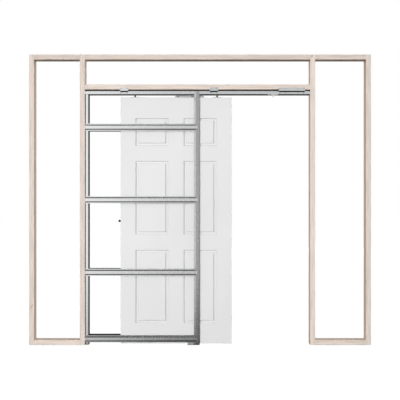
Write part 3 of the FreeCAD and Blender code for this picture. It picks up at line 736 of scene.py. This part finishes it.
dress("sliding_track", pressed_aluminium("pressed_aluminium"))

# Moulded fittings: track stops, soft-close trigger, floor guide and trolley wheels.
# Injection-moulded nylon and black filled plastic with a fine spark-eroded surface.

MOULD_CLOUDS_PER_METRE = (60.0, 60.0, 60.0)
MOULD_GRAIN_PER_METRE = (2400.0, 2400.0, 2400.0)
MOULD_GLOSS_SPREAD = 0.06
MOULD_RELIEF = (0.0001, 0.25)


def moulded_plastic(name, colour, worn, roughness):
    """Moulded plastic: slow clouds of a second tone, and a fine even grain that varies the gloss."""
    material, tree, shader, place = blank_finish(name)
    clouds = remap(tree, noise(tree, place, MOULD_CLOUDS_PER_METRE), *NOISE_CORE, 0.0, 1.0)
    grain = noise(tree, place, MOULD_GRAIN_PER_METRE, detail=1.0)
    wire(tree, mix_colours(tree, clouds, colour, worn), shader.inputs["Base Color"])
    spread = (roughness - MOULD_GLOSS_SPREAD, roughness + MOULD_GLOSS_SPREAD)
    wire(tree, remap(tree, grain, *NOISE_CORE, *spread), shader.inputs["Roughness"])
    emboss(tree, shader, grain, *MOULD_RELIEF)
    return material


PALE_NYLON = (0.80, 0.80, 0.79, 1.0)
PALE_NYLON_WORN = (0.74, 0.74, 0.73, 1.0)
PALE_NYLON_ROUGHNESS = 0.42
BLACK_PLASTIC = (0.035, 0.035, 0.036, 1.0)
BLACK_PLASTIC_WORN = (0.055, 0.055, 0.055, 1.0)
GREY_NYLON = (0.360, 0.360, 0.355, 1.0)
GREY_NYLON_WORN = (0.290, 0.290, 0.285, 1.0)
DULL_PLASTIC_ROUGHNESS = 0.45
pale_nylon = moulded_plastic("pale_nylon", PALE_NYLON, PALE_NYLON_WORN, PALE_NYLON_ROUGHNESS)
black_plastic = moulded_plastic("black_plastic", BLACK_PLASTIC, BLACK_PLASTIC_WORN, DULL_PLASTIC_ROUGHNESS)
grey_nylon = moulded_plastic("grey_nylon", GREY_NYLON, GREY_NYLON_WORN, DULL_PLASTIC_ROUGHNESS)
for node in ("soft_close_trigger", "rear_trolley_wheels", "leading_trolley_wheels"):
    dress(node, pale_nylon)
for node in ("pocket_track_stop", "strike_track_stop"):
    dress(node, black_plastic)
dress("floor_guide", grey_nylon)

# Door leaf: a flat core between two pressed skins with six raised panels, painted white all over.
# The pressed moulding falls in a steep cyma to a broad flat valley and rises in a steep ogee to the field.

PAINT_WHITE = (0.835, 0.835, 0.833, 1.0)
PAINT_SHADE = (0.805, 0.805, 0.805, 1.0)
PAINT_CORNER_SHADE = (0.480, 0.480, 0.480, 1.0)
PAINT_CORNER_SHADE_REACH = 0.009
PAINT_CORNER_SHADE_EDGES = (0.50, 1.00)
# Painted shade for slopes that look to the right.
PAINT_RIGHT_SLOPE_SHADE = (0.420, 0.420, 0.420, 1.0)
RIGHT_SLOPE_SHADE_SHARE = 0.60
RIGHTWARD_TURN = (0.2, 0.7)
EDGE_TURN = (0.0, 0.3)
DRIFTS_PER_METRE = (2.2, 2.2, 1.4)
STIPPLE_PER_METRE = (750.0, 750.0, 750.0)
PAINT_ROUGHNESS = (0.36, 0.46)
PAINT_RELIEF = (0.00015, 0.12)


def satin_paint(name):
    """White satin paint: a very slow drift of tone, fine stipple, and a painted shade in the corners.
    Slopes that look to the right get a greyer painted shade, but not the leaf's edges, which don't look out
    of the wall at all."""
    material, tree, shader, place = blank_finish(name)
    drift = remap(tree, noise(tree, place, DRIFTS_PER_METRE), *NOISE_CORE, 0.0, 1.0)
    stipple = noise(tree, place, STIPPLE_PER_METRE)
    tone = mix_colours(tree, drift, PAINT_SHADE, PAINT_WHITE)
    # Painted shade in the moulding's corners.
    tone = mix_colours(tree, open_air(tree, PAINT_CORNER_SHADE_REACH, *PAINT_CORNER_SHADE_EDGES), PAINT_CORNER_SHADE, tone)
    normal = outlook(tree)
    # Painted shade on slopes that look to the right, as if lit from the left; the leaf's edges are left out.
    away = remap(tree, part_along(tree, normal, ALONG_WALL), *RIGHTWARD_TURN, 0.0, RIGHT_SLOPE_SHADE_SHARE)
    out_of_wall = calc(tree, "ABSOLUTE", part_along(tree, normal, THROUGH_WALL))
    right_slope_shade = calc(tree, "MULTIPLY", away, remap(tree, out_of_wall, *EDGE_TURN, 0.0, 1.0))
    wire(tree, mix_colours(tree, right_slope_shade, tone, PAINT_RIGHT_SLOPE_SHADE), shader.inputs["Base Color"])
    wire(tree, remap(tree, stipple, *NOISE_CORE, *PAINT_ROUGHNESS), shader.inputs["Roughness"])
    emboss(tree, shader, stipple, *PAINT_RELIEF)
    return material


SQUARE_ON = 0.9999
HAIR = 0.001 * MILLIMETRE


def keep_crisp(mesh):
    """Faces square to the wall are shaded flat, and the mitres, which run as far along as up, stay sharp."""
    facing = np.empty(len(mesh.polygons) * 3)
    mesh.polygons.foreach_get("normal", facing)
    mesh.polygons.foreach_set("use_smooth", np.abs(facing.reshape(-1, 3)[:, 1]) < SQUARE_ON)
    spots = np.empty(len(mesh.vertices) * 3)
    mesh.vertices.foreach_get("co", spots)
    ends = np.empty(len(mesh.edges) * 2, int)
    mesh.edges.foreach_get("vertices", ends)
    run = np.abs(np.diff(spots.reshape(-1, 3)[ends.reshape(-1, 2)], axis=1))[:, 0]
    mitred = (np.abs(run[:, 0] - run[:, 2]) < HAIR) & (run[:, 0] > HAIR)
    mesh.edges.foreach_set("use_edge_sharp", mitred)


def carried_round(low_x, high_x, low_z, high_z, inset, sink):
    """A profile carried round a rectangle with mitred corners: every station of the profile is a smaller
    rectangle, moved in by its inset and back by its sink. One column for each corner, one row for each
    station."""
    x = np.stack([low_x + inset, high_x - inset, high_x - inset, low_x + inset], axis=-1)
    z = np.stack([low_z + inset, low_z + inset, high_z - inset, high_z - inset], axis=-1)
    y = np.repeat(sink[:, None], 4, axis=1)
    return np.stack([x, y, z], axis=-1), lay_grid(len(inset), 4, True)


STILE = 123.0 * MILLIMETRE
MULLION = 124.0 * MILLIMETRE
RAILS_FROM_TOP = np.array([170.0, 123.0, 125.0]) * MILLIMETRE
PANELS_FROM_TOP = np.array([232.0, 613.0, 610.0]) * MILLIMETRE
CYMA_END = 8.0 * MILLIMETRE
VALLEY_DEPTH = 8.2 * MILLIMETRE
OGEE_START = 19.0 * MILLIMETRE
OGEE_END = 28.0 * MILLIMETRE
FIELD_SETBACK = 1.5 * MILLIMETRE
MOULDING_STATIONS = 15
DOOR_ARRIS = 1.5 * MILLIMETRE
ARRIS_STATIONS = 7

quarter = np.linspace(0.0, math.pi / 2, ARRIS_STATIONS)
half = np.linspace(0.0, math.pi, MOULDING_STATIONS)
sweep = (1 - np.cos(half)) / 2
cyma_inset = CYMA_END * half / math.pi
cyma_sink = VALLEY_DEPTH * sweep
ogee_inset = OGEE_START + (OGEE_END - OGEE_START) * half / math.pi
ogee_sink = VALLEY_DEPTH + (FIELD_SETBACK - VALLEY_DEPTH) * sweep
moulding_inset = np.concatenate([cyma_inset, ogee_inset])
moulding_sink = np.concatenate([cyma_sink, ogee_sink])


def pressed_skin(side, other_side, inward):
    """One skin: flat stiles and rails on the lines of the panels, the moulding carried round each panel, the
    raised fields, and an eased edge carried round the leaf down to the core."""
    node = f"door_{side}_skin"
    low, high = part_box(node)
    face_y = face_on(side, low, high)
    back_y = face_on(other_side, low, high)
    panel = (high.x - low.x - 2 * STILE - MULLION) / 2
    columns = low.x + np.array([STILE, STILE + panel + MULLION])
    tops = high.z - np.cumsum(RAILS_FROM_TOP) - np.concatenate([[0.0], np.cumsum(PANELS_FROM_TOP)[:-1]])
    edge_x = np.concatenate([[low.x + DOOR_ARRIS], columns, columns + panel, [high.x - DOOR_ARRIS]])
    edge_z = np.concatenate([[low.z + DOOR_ARRIS], tops, tops - PANELS_FROM_TOP, [high.z - DOOR_ARRIS]])
    grid_x, grid_z = np.meshgrid(np.sort(edge_x), np.sort(edge_z))
    flat = np.stack([grid_x, np.full_like(grid_x, face_y), grid_z], axis=-1)
    cells = lay_grid(len(edge_z), len(edge_x), False)
    cell_row, cell_column = np.divmod(np.arange(len(cells)), len(edge_x) - 1)
    shapes = [(flat.reshape(-1, 3), cells[(cell_row % 2 == 0) | (cell_column % 2 == 0)])]
    arris_inset = np.concatenate([[0.0], DOOR_ARRIS * (1 - np.sin(quarter))])
    arris_y = np.concatenate([[back_y], face_y + inward * DOOR_ARRIS * (1 - np.cos(quarter))])
    edge_points, edge_quads = carried_round(low.x, high.x, low.z, high.z, arris_inset, arris_y)
    shapes.append((edge_points.reshape(-1, 3), edge_quads))
    shapes.append((edge_points[0], np.array([[3, 2, 1, 0]])))
    sunk_y = face_y + inward * moulding_sink
    for x in columns:
        for top, height in zip(tops, PANELS_FROM_TOP):
            ring, ring_quads = carried_round(x, x + panel, top - height, top, moulding_inset, sunk_y)
            shapes.append((ring.reshape(-1, 3), ring_quads))
            shapes.append((ring[-1], np.array([[0, 1, 2, 3]])))
    points, faces = joined(shapes)
    faces = faces if inward > 0 else faces[:, ::-1]
    skin = make_piece(f"pressed_{side}_skin", points, faces, white_paint, "painted_door", "door")
    keep_crisp(skin.data)
    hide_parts(node)


white_paint = satin_paint("white_satin_paint")
dress("door_core", white_paint)
pressed_skin("front", "back", 1.0)
pressed_skin("back", "front", -1.0)

# Hangers on the door's top edge: pressed plates screwed down, threaded bolts with adjusting nuts, trolleys.
# Steel with a dark zinc plating; the bolt passes through the track's slot and carries the trolley.

THREAD_PITCH = 1.25 * MILLIMETRE
THREAD_DEPTH = 0.6 * MILLIMETRE
THREAD_RADIUS = 4.0 * MILLIMETRE
THREAD_COLUMNS = 24
STATIONS_PER_PITCH = 8
THREAD_CREASE = 25.0
NUT_APOTHEM = 6.5 * MILLIMETRE
NUT_HEIGHT = 14.0 * MILLIMETRE
NUT_COLUMNS = 72
CHAMFER_SHARE = 0.06
CHAMFER_STATIONS = 6
CHAMFER_START = 0.96
CHAMFER_SLOPE = math.sqrt(3)
PLATE_SCREW_REACH = 27.0 * MILLIMETRE
DARK_ZINC = (0.16, 0.16, 0.165, 1.0)
DARK_ZINC_CLOUD = (0.10, 0.10, 0.105, 1.0)
PLATE_ZINC = (0.52, 0.52, 0.52, 1.0)
PLATE_ZINC_CLOUD = (0.40, 0.40, 0.41, 1.0)
HANGER_ROUGHNESS = 0.30


def capped_column(radius, level, turn):
    """A column closed at both ends: a ring of points at each level, with its own radius at each turn, and the
    axis below the first and above the last."""
    axis = np.zeros((1, len(turn)))
    radius = np.concatenate([axis, radius, axis])
    z = np.repeat(np.concatenate([level[:1], level, level[-1:]])[:, None], len(turn), axis=1)
    points = np.stack([radius * np.cos(turn), radius * np.sin(turn), z], axis=-1)
    return points, lay_grid(len(z), len(turn), True)


def hex_nut(apothem, height):
    """A six-sided nut: at each turn the radius is the flat's distance over the cosine of the angle from its
    middle, or that of a chamfering cone at either end where the cone is smaller."""
    near_end = np.linspace(0.0, CHAMFER_SHARE, CHAMFER_STATIONS)
    level = np.concatenate([near_end, 1 - near_end[::-1]]) * height
    turn = np.linspace(0.0, 2 * math.pi, NUT_COLUMNS, endpoint=False)
    flats = apothem / np.cos(turn % (math.pi / 3) - math.pi / 6)
    cone = CHAMFER_START * apothem + CHAMFER_SLOPE * np.minimum(level, height - level)
    return capped_column(np.minimum(flats, cone[:, None]), level, turn)


def threaded_rod(radius, depth, pitch, low_z, high_z):
    """A rod whose radius falls by the thread's depth and rises again once in every pitch, a turn later all
    round."""
    level = np.linspace(low_z, high_z, int((high_z - low_z) / pitch * STATIONS_PER_PITCH))
    turn = np.linspace(0.0, 2 * math.pi, THREAD_COLUMNS, endpoint=False)
    phase = (level[:, None] / pitch - turn / (2 * math.pi)) % 1.0
    return capped_column(radius - depth * np.abs(2 * phase - 1), level, turn)


dark_zinc = plated_steel("dark_zinc", DARK_ZINC, DARK_ZINC_CLOUD, HANGER_ROUGHNESS)
plate_zinc = plated_steel("plate_zinc", PLATE_ZINC, PLATE_ZINC_CLOUD, HANGER_ROUGHNESS)
nut = hex_nut(NUT_APOTHEM, NUT_HEIGHT)
for end in ("rear", "leading"):
    dress(end + "_hanger_plate", plate_zinc)
    dress(end + "_trolley", dark_zinc)
    low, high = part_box(end + "_hanger_bolt")
    foot = ((low.x + high.x) / 2, (low.y + high.y) / 2, low.z)
    rod = threaded_rod(THREAD_RADIUS, THREAD_DEPTH, THREAD_PITCH, NUT_HEIGHT, high.z - low.z)
    bolt = joined([fixed_at(nut, [foot], "up"), fixed_at(rod, [foot], "up")])
    bolt_name = end + "_threaded_hanger"
    bolt_piece = make_piece(bolt_name, *bolt, dark_zinc, "zinc_hardware", "door", THREAD_CREASE)
    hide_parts(end + "_hanger_bolt")
    screws = [(foot[0] + reach, foot[1], low.z) for reach in PLATE_SCREW_REACH * BOTH_WAYS]
    fasten(end + "_plate_screws", pan_screw, screws, "up", screw_zinc, "door")

# Soft-close unit on the door's top edge: a pale grey moulded housing with three windows in each side.
# A dark catch, carriage and damper end show in the windows.

PALE_GREY = (0.52, 0.52, 0.52, 1.0)
PALE_GREY_WORN = (0.44, 0.44, 0.45, 1.0)
HOUSING_ROUGHNESS = 0.40
WINDOW_SPANS = ((17.5, 13.0), (132.0, 25.0), (195.0, 10.0))
WINDOW_SILL = 3.0 * MILLIMETRE
WINDOW_HEIGHT = 8.0 * MILLIMETRE
WINDOW_DEPTH = 3.0 * MILLIMETRE
INSERT_GAP = 0.25 * MILLIMETRE
INSERT_SQUARENESS = 0.25
dress("soft_close_unit", moulded_plastic("pale_grey_plastic", PALE_GREY, PALE_GREY_WORN, HOUSING_ROUGHNESS))
unit_low, unit_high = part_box("soft_close_unit")
inserts = []
for start, length in WINDOW_SPANS:
    half_length = length / 2 * MILLIMETRE - INSERT_GAP
    half_size = (half_length, WINDOW_DEPTH / 2 + INSERT_GAP, WINDOW_HEIGHT / 2 - INSERT_GAP)
    x = unit_low.x + (start + length / 2) * MILLIMETRE
    z = unit_low.z + WINDOW_SILL + WINDOW_HEIGHT / 2
    spots = [(x, y, z) for y in (unit_low.y + WINDOW_DEPTH / 2, unit_high.y - WINDOW_DEPTH / 2)]
    inserts.append(fixed_at(rounded_block(half_size, INSERT_SQUARENESS), spots, "up"))
make_piece("soft_close_catches", *joined(inserts), black_plastic, "grey_plastic", "door")

# Rear bumper: a round black rubber buffer on the edge of the door that meets the end post.
# Moulded with shallow rings and a domed nose.

RUBBER = (0.018, 0.018, 0.019, 1.0)
RUBBER_BLOOM = (0.040, 0.040, 0.041, 1.0)
BLOOM_PER_METRE = (180.0, 180.0, 180.0)
BLOOM_EDGES = (0.4, 0.7)
RUBBER_ROUGHNESS = (0.55, 0.75)
RUBBER_RELIEF = (0.0001, 0.2)
BUMPER_MEAN_RADIUS = 9.9 * MILLIMETRE
BUMPER_RING_HEIGHT = 0.5 * MILLIMETRE
BUMPER_RING_PITCH = 4.5 * MILLIMETRE
BUMPER_BARREL = 13.5 * MILLIMETRE
BARREL_STATIONS = 28
NOSE_STATIONS = 12
BUMPER_COLUMNS = 40
BUMPER_CREASE = 60.0


def black_rubber(name):
    """Moulded rubber: a faint pale bloom in slow clouds over a dull black."""
    material, tree, shader, place = blank_finish(name)
    bloom = noise(tree, place, BLOOM_PER_METRE, detail=4.0)
    tone = mix_colours(tree, remap(tree, bloom, *BLOOM_EDGES, 0.0, 1.0), RUBBER, RUBBER_BLOOM)
    wire(tree, tone, shader.inputs["Base Color"])
    wire(tree, remap(tree, bloom, *NOISE_CORE, *RUBBER_ROUGHNESS), shader.inputs["Roughness"])
    emboss(tree, shader, bloom, *RUBBER_RELIEF)
    return material


def ringed_buffer(length):
    """A barrel whose radius swells once in every ring's pitch, closed by an elliptical dome."""
    barrel = np.linspace(0.0, BUMPER_BARREL, BARREL_STATIONS)
    swell = BUMPER_MEAN_RADIUS + BUMPER_RING_HEIGHT * np.cos(2 * math.pi * barrel / BUMPER_RING_PITCH)
    lift = np.linspace(0.0, math.pi / 2, NOSE_STATIONS)[1:]
    dome = BUMPER_BARREL + (length - BUMPER_BARREL) * np.sin(lift)
    nose = swell[-1] * np.cos(lift)
    nose[-1] = 0.0
    radius = np.concatenate([[0.0], swell, nose])
    return turned(radius, np.concatenate([[0.0], barrel, dome]), BUMPER_COLUMNS)


rubber = black_rubber("black_rubber")
bumper_low, bumper_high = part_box("rear_bumper")
bumper_seat = [(bumper_high.x, (bumper_low.y + bumper_high.y) / 2, (bumper_low.z + bumper_high.z) / 2)]
buffer = fixed_at(ringed_buffer(bumper_high.x - bumper_low.x), bumper_seat, "left")
buffer_piece = make_piece("ringed_bumper", *buffer, rubber, "black_rubber", "door", BUMPER_CREASE)
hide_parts("rear_bumper")

# Studio: a pale floor, soft lamps in front, at the side and behind, light from all round, and the camera.
# The floor and the surroundings show as white, and the floor keeps a faint shadow.
# Cards that only mirrors see stand in front, to the right, above and below, and shape the bright metal.

FLOOR_REACH = 40.0
FLOOR_DROP = 0.004
FLOOR_BOUNCE = (0.06, 0.06, 0.06, 1.0)
FLOOR_GLOW = 0.975
WHITE = (1.0, 1.0, 1.0, 1.0)


def seen_directly(tree):
    """1 for rays from the camera, from mirrors and through glass, 0 for the light that falls on things."""
    path = tree.nodes.new("ShaderNodeLightPath")
    seen = calc(tree, "MAXIMUM", path.outputs["Is Camera Ray"], path.outputs["Is Glossy Ray"])
    return calc(tree, "MAXIMUM", seen, path.outputs["Is Transmission Ray"])


def stage_sheet(name, start, first_side, second_side):
    """A flat sheet that isn't part of the object, from one corner along two sides, with an empty node
    material."""
    start, first_side, second_side = np.array([start, first_side, second_side])
    corners = [start, start + first_side, start + first_side + second_side, start + second_side]
    mesh = bpy.data.meshes.new(name)
    mesh.from_pydata(np.array(corners), [], [[0, 1, 2, 3]])
    sheet = bpy.data.objects.new(name, mesh)
    bpy.context.scene.collection.objects.link(sheet)
    finish = bpy.data.materials.new(name)
    finish.use_nodes = True
    finish.node_tree.nodes.clear()
    mesh.materials.append(finish)
    return sheet, finish.node_tree


floor_start = (-FLOOR_REACH, -FLOOR_REACH, -FLOOR_DROP)
floor_wide = (2 * FLOOR_REACH, 0.0, 0.0)
floor_deep = (0.0, 2 * FLOOR_REACH, 0.0)
floor, floor_tree = stage_sheet("studio_floor", floor_start, floor_wide, floor_deep)
floor.visible_shadow = False
floor_out = floor_tree.nodes.new("ShaderNodeOutputMaterial")
floor_bounce = floor_tree.nodes.new("ShaderNodeBsdfDiffuse")
floor_bounce.inputs["Color"].default_value = FLOOR_BOUNCE
floor_glow = floor_tree.nodes.new("ShaderNodeEmission")
floor_glow.inputs["Color"].default_value = WHITE
floor_glow.inputs["Strength"].default_value = FLOOR_GLOW
floor_bright = floor_tree.nodes.new("ShaderNodeAddShader")
floor_choice = floor_tree.nodes.new("ShaderNodeMixShader")
floor_tree.links.new(floor_bounce.outputs[0], floor_bright.inputs[0])
floor_tree.links.new(floor_glow.outputs[0], floor_bright.inputs[1])
floor_tree.links.new(seen_directly(floor_tree), floor_choice.inputs["Fac"])
floor_tree.links.new(floor_bounce.outputs[0], floor_choice.inputs[1])
floor_tree.links.new(floor_bright.outputs[0], floor_choice.inputs[2])
floor_tree.links.new(floor_choice.outputs[0], floor_out.inputs["Surface"])

CARD_REACH = 6.0
CARD_DROP = 0.002
FRONT_CARD_Y = -9.0
BACK_CARD_Y = 2.0
FLOOR_CARD_BACK = 39.0
LEFT_FADE = (-2.8, -0.1)
LEFT_LEVEL = 1.25
MIDDLE_LEVEL = 0.73
RIGHT_FADE = (0.7, 2.6)
RIGHT_SHARE = 1.10
FLOOR_ACROSS_FADE = (-1.0, 0.1)
FLOOR_NEAR_LEFT = 0.80
FLOOR_NEAR_RIGHT = 0.31
FLOOR_FRONT_FADE = (-5.0, -0.1)
FLOOR_UNDER_FADE = (-0.24, -0.04)
FLOOR_UNDER = 0.40
FLOOR_BEHIND_FADE = (0.15, 1.6)
FLOOR_BEHIND = 0.80
FLOOR_FAR_FADE = (7.0, 9.0)
FLOOR_FAR = 0.03
CEILING_LEVEL = 0.12
RIGHT_CARD_LEVEL = 0.78


def mirror_card(name, start, first_side, second_side, level_at):
    """A glowing card that only mirrors see; its level is worked out from the place along X and Y."""
    card, tree = stage_sheet(name, start, first_side, second_side)
    out = tree.nodes.new("ShaderNodeOutputMaterial")
    glow = tree.nodes.new("ShaderNodeEmission")
    place = tree.nodes.new("ShaderNodeTexCoord").outputs["Object"]
    along = part_along(tree, place, ALONG_WALL)
    deep = part_along(tree, place, THROUGH_WALL)
    wire(tree, level_at(tree, along, deep), glow.inputs["Strength"])
    wire(tree, glow.outputs[0], out.inputs["Surface"])
    card.visible_camera = False
    card.visible_diffuse = False
    card.visible_transmission = False
    card.visible_shadow = False


def front_level(tree, along, deep):
    """Bright on the left, fading to the middle, and a little brighter again far to the right."""
    level = remap(tree, along, *LEFT_FADE, LEFT_LEVEL, MIDDLE_LEVEL)
    return calc(tree, "MULTIPLY", level, remap(tree, along, *RIGHT_FADE, 1.0, RIGHT_SHARE))


def floor_level(tree, along, deep):
    """Dim under the frame. In front it rises to the front card's level, from a lower one on the right.
    Behind it is pale, and dark far off."""
    near = remap(tree, along, *FLOOR_ACROSS_FADE, FLOOR_NEAR_LEFT, FLOOR_NEAR_RIGHT)
    in_front = remap(tree, deep, *FLOOR_FRONT_FADE, 1.0, near)
    in_front = calc(tree, "MULTIPLY", in_front, front_level(tree, along, deep))
    in_front = calc(tree, "MULTIPLY", in_front, remap(tree, deep, *FLOOR_UNDER_FADE, 1.0, FLOOR_UNDER))
    behind = remap(tree, deep, *FLOOR_BEHIND_FADE, FLOOR_UNDER, FLOOR_BEHIND)
    behind = calc(tree, "MULTIPLY", behind, remap(tree, deep, *FLOOR_FAR_FADE, 1.0, FLOOR_FAR))
    behind = calc(tree, "MULTIPLY", behind, calc(tree, "GREATER_THAN", deep, 0.0))
    return calc(tree, "MAXIMUM", in_front, behind)


def ceiling_level(tree, along, deep):
    """The same dim level all over."""
    return CEILING_LEVEL


def right_level(tree, along, deep):
    """The same level all over."""
    return RIGHT_CARD_LEVEL


card_wide = (2 * CARD_REACH, 0.0, 0.0)
card_deep = (0.0, BACK_CARD_Y - FRONT_CARD_Y, 0.0)
card_tall = (0.0, 0.0, CARD_REACH)
floor_card_start = (-CARD_REACH, FRONT_CARD_Y, -CARD_DROP)
floor_card_deep = (0.0, FLOOR_CARD_BACK - FRONT_CARD_Y, 0.0)
mirror_card("front_card", (-CARD_REACH, FRONT_CARD_Y, 0.0), card_wide, card_tall, front_level)
mirror_card("floor_card", floor_card_start, card_wide, floor_card_deep, floor_level)
mirror_card("ceiling_card", (-CARD_REACH, FRONT_CARD_Y, CARD_REACH), card_wide, card_deep, ceiling_level)
mirror_card("right_card", (CARD_REACH, FRONT_CARD_Y, 0.0), card_deep, card_tall, right_level)

HORIZON_LIGHT = 1.05
ZENITH_LIGHT = 0.12
BACKDROP_LIFT = 0.50
surround = bpy.data.worlds.new("studio")
bpy.context.scene.world = surround
surround.use_nodes = True
sky_tree = surround.node_tree
sky_tree.nodes.clear()
sky_out = sky_tree.nodes.new("ShaderNodeOutputWorld")
sky_white = sky_tree.nodes.new("ShaderNodeBackground")
sky_white.inputs["Color"].default_value = WHITE
sky_light = sky_tree.nodes.new("ShaderNodeBackground")
sky_light.inputs["Color"].default_value = WHITE
sky_way = sky_tree.nodes.new("ShaderNodeTexCoord").outputs["Generated"]
sky_height = part_along(sky_tree, sky_way, UPWARD)
sky_level = calc(sky_tree, "MULTIPLY_ADD", sky_height, ZENITH_LIGHT - HORIZON_LIGHT, HORIZON_LIGHT)
sky_level = calc(sky_tree, "MULTIPLY", sky_level, calc(sky_tree, "GREATER_THAN", sky_height, 0.0))
sky_depth = part_along(sky_tree, sky_way, THROUGH_WALL)
sky_lift = calc(sky_tree, "MULTIPLY_ADD", sky_depth, BACKDROP_LIFT, 1.0)
wire(sky_tree, calc(sky_tree, "MULTIPLY", sky_level, sky_lift), sky_light.inputs["Strength"])
sky_choice = sky_tree.nodes.new("ShaderNodeMixShader")
sky_tree.links.new(seen_directly(sky_tree), sky_choice.inputs["Fac"])
sky_tree.links.new(sky_light.outputs[0], sky_choice.inputs[1])
sky_tree.links.new(sky_white.outputs[0], sky_choice.inputs[2])
sky_tree.links.new(sky_choice.outputs[0], sky_out.inputs["Surface"])

LAMPS = {
    "key_light": ((-3.0, -12.5, 2.2), 3.0, 1260.0),
    "side_light": ((9.0, 3.5, 2.0), 4.0, 180.0),
    "back_light": ((3.0, 12.5, 2.2), 3.0, 560.0),
}
OBJECT_MIDDLE = (cad_box[0] + cad_box[1]) / 2
for lamp_name, (lamp_place, lamp_size, lamp_power) in LAMPS.items():
    lamp = bpy.data.lights.new(lamp_name, "AREA")
    lamp.shape = "SQUARE"
    lamp.size = lamp_size
    lamp.energy = lamp_power
    holder = bpy.data.objects.new(lamp_name, lamp)
    holder.location = lamp_place
    holder.rotation_euler = (OBJECT_MIDDLE - holder.location).to_track_quat("-Z", "Y").to_euler()
    holder.visible_glossy = False
    bpy.context.scene.collection.objects.link(holder)

CAMERA_PLACE = (0.0537, -6.045, 1.1982)
CAMERA_LENS = 65.4
SENSOR_WIDTH = 36.0
view = bpy.data.cameras.new("front_view")
view.lens = CAMERA_LENS
view.sensor_width = SENSOR_WIDTH
camera = bpy.data.objects.new("front_view", view)
camera.location = CAMERA_PLACE
camera.rotation_euler = (math.pi / 2, 0.0, 0.0)
bpy.context.scene.collection.objects.link(camera)
bpy.context.scene.camera = camera
bpy.context.scene.view_settings.view_transform = "Standard"
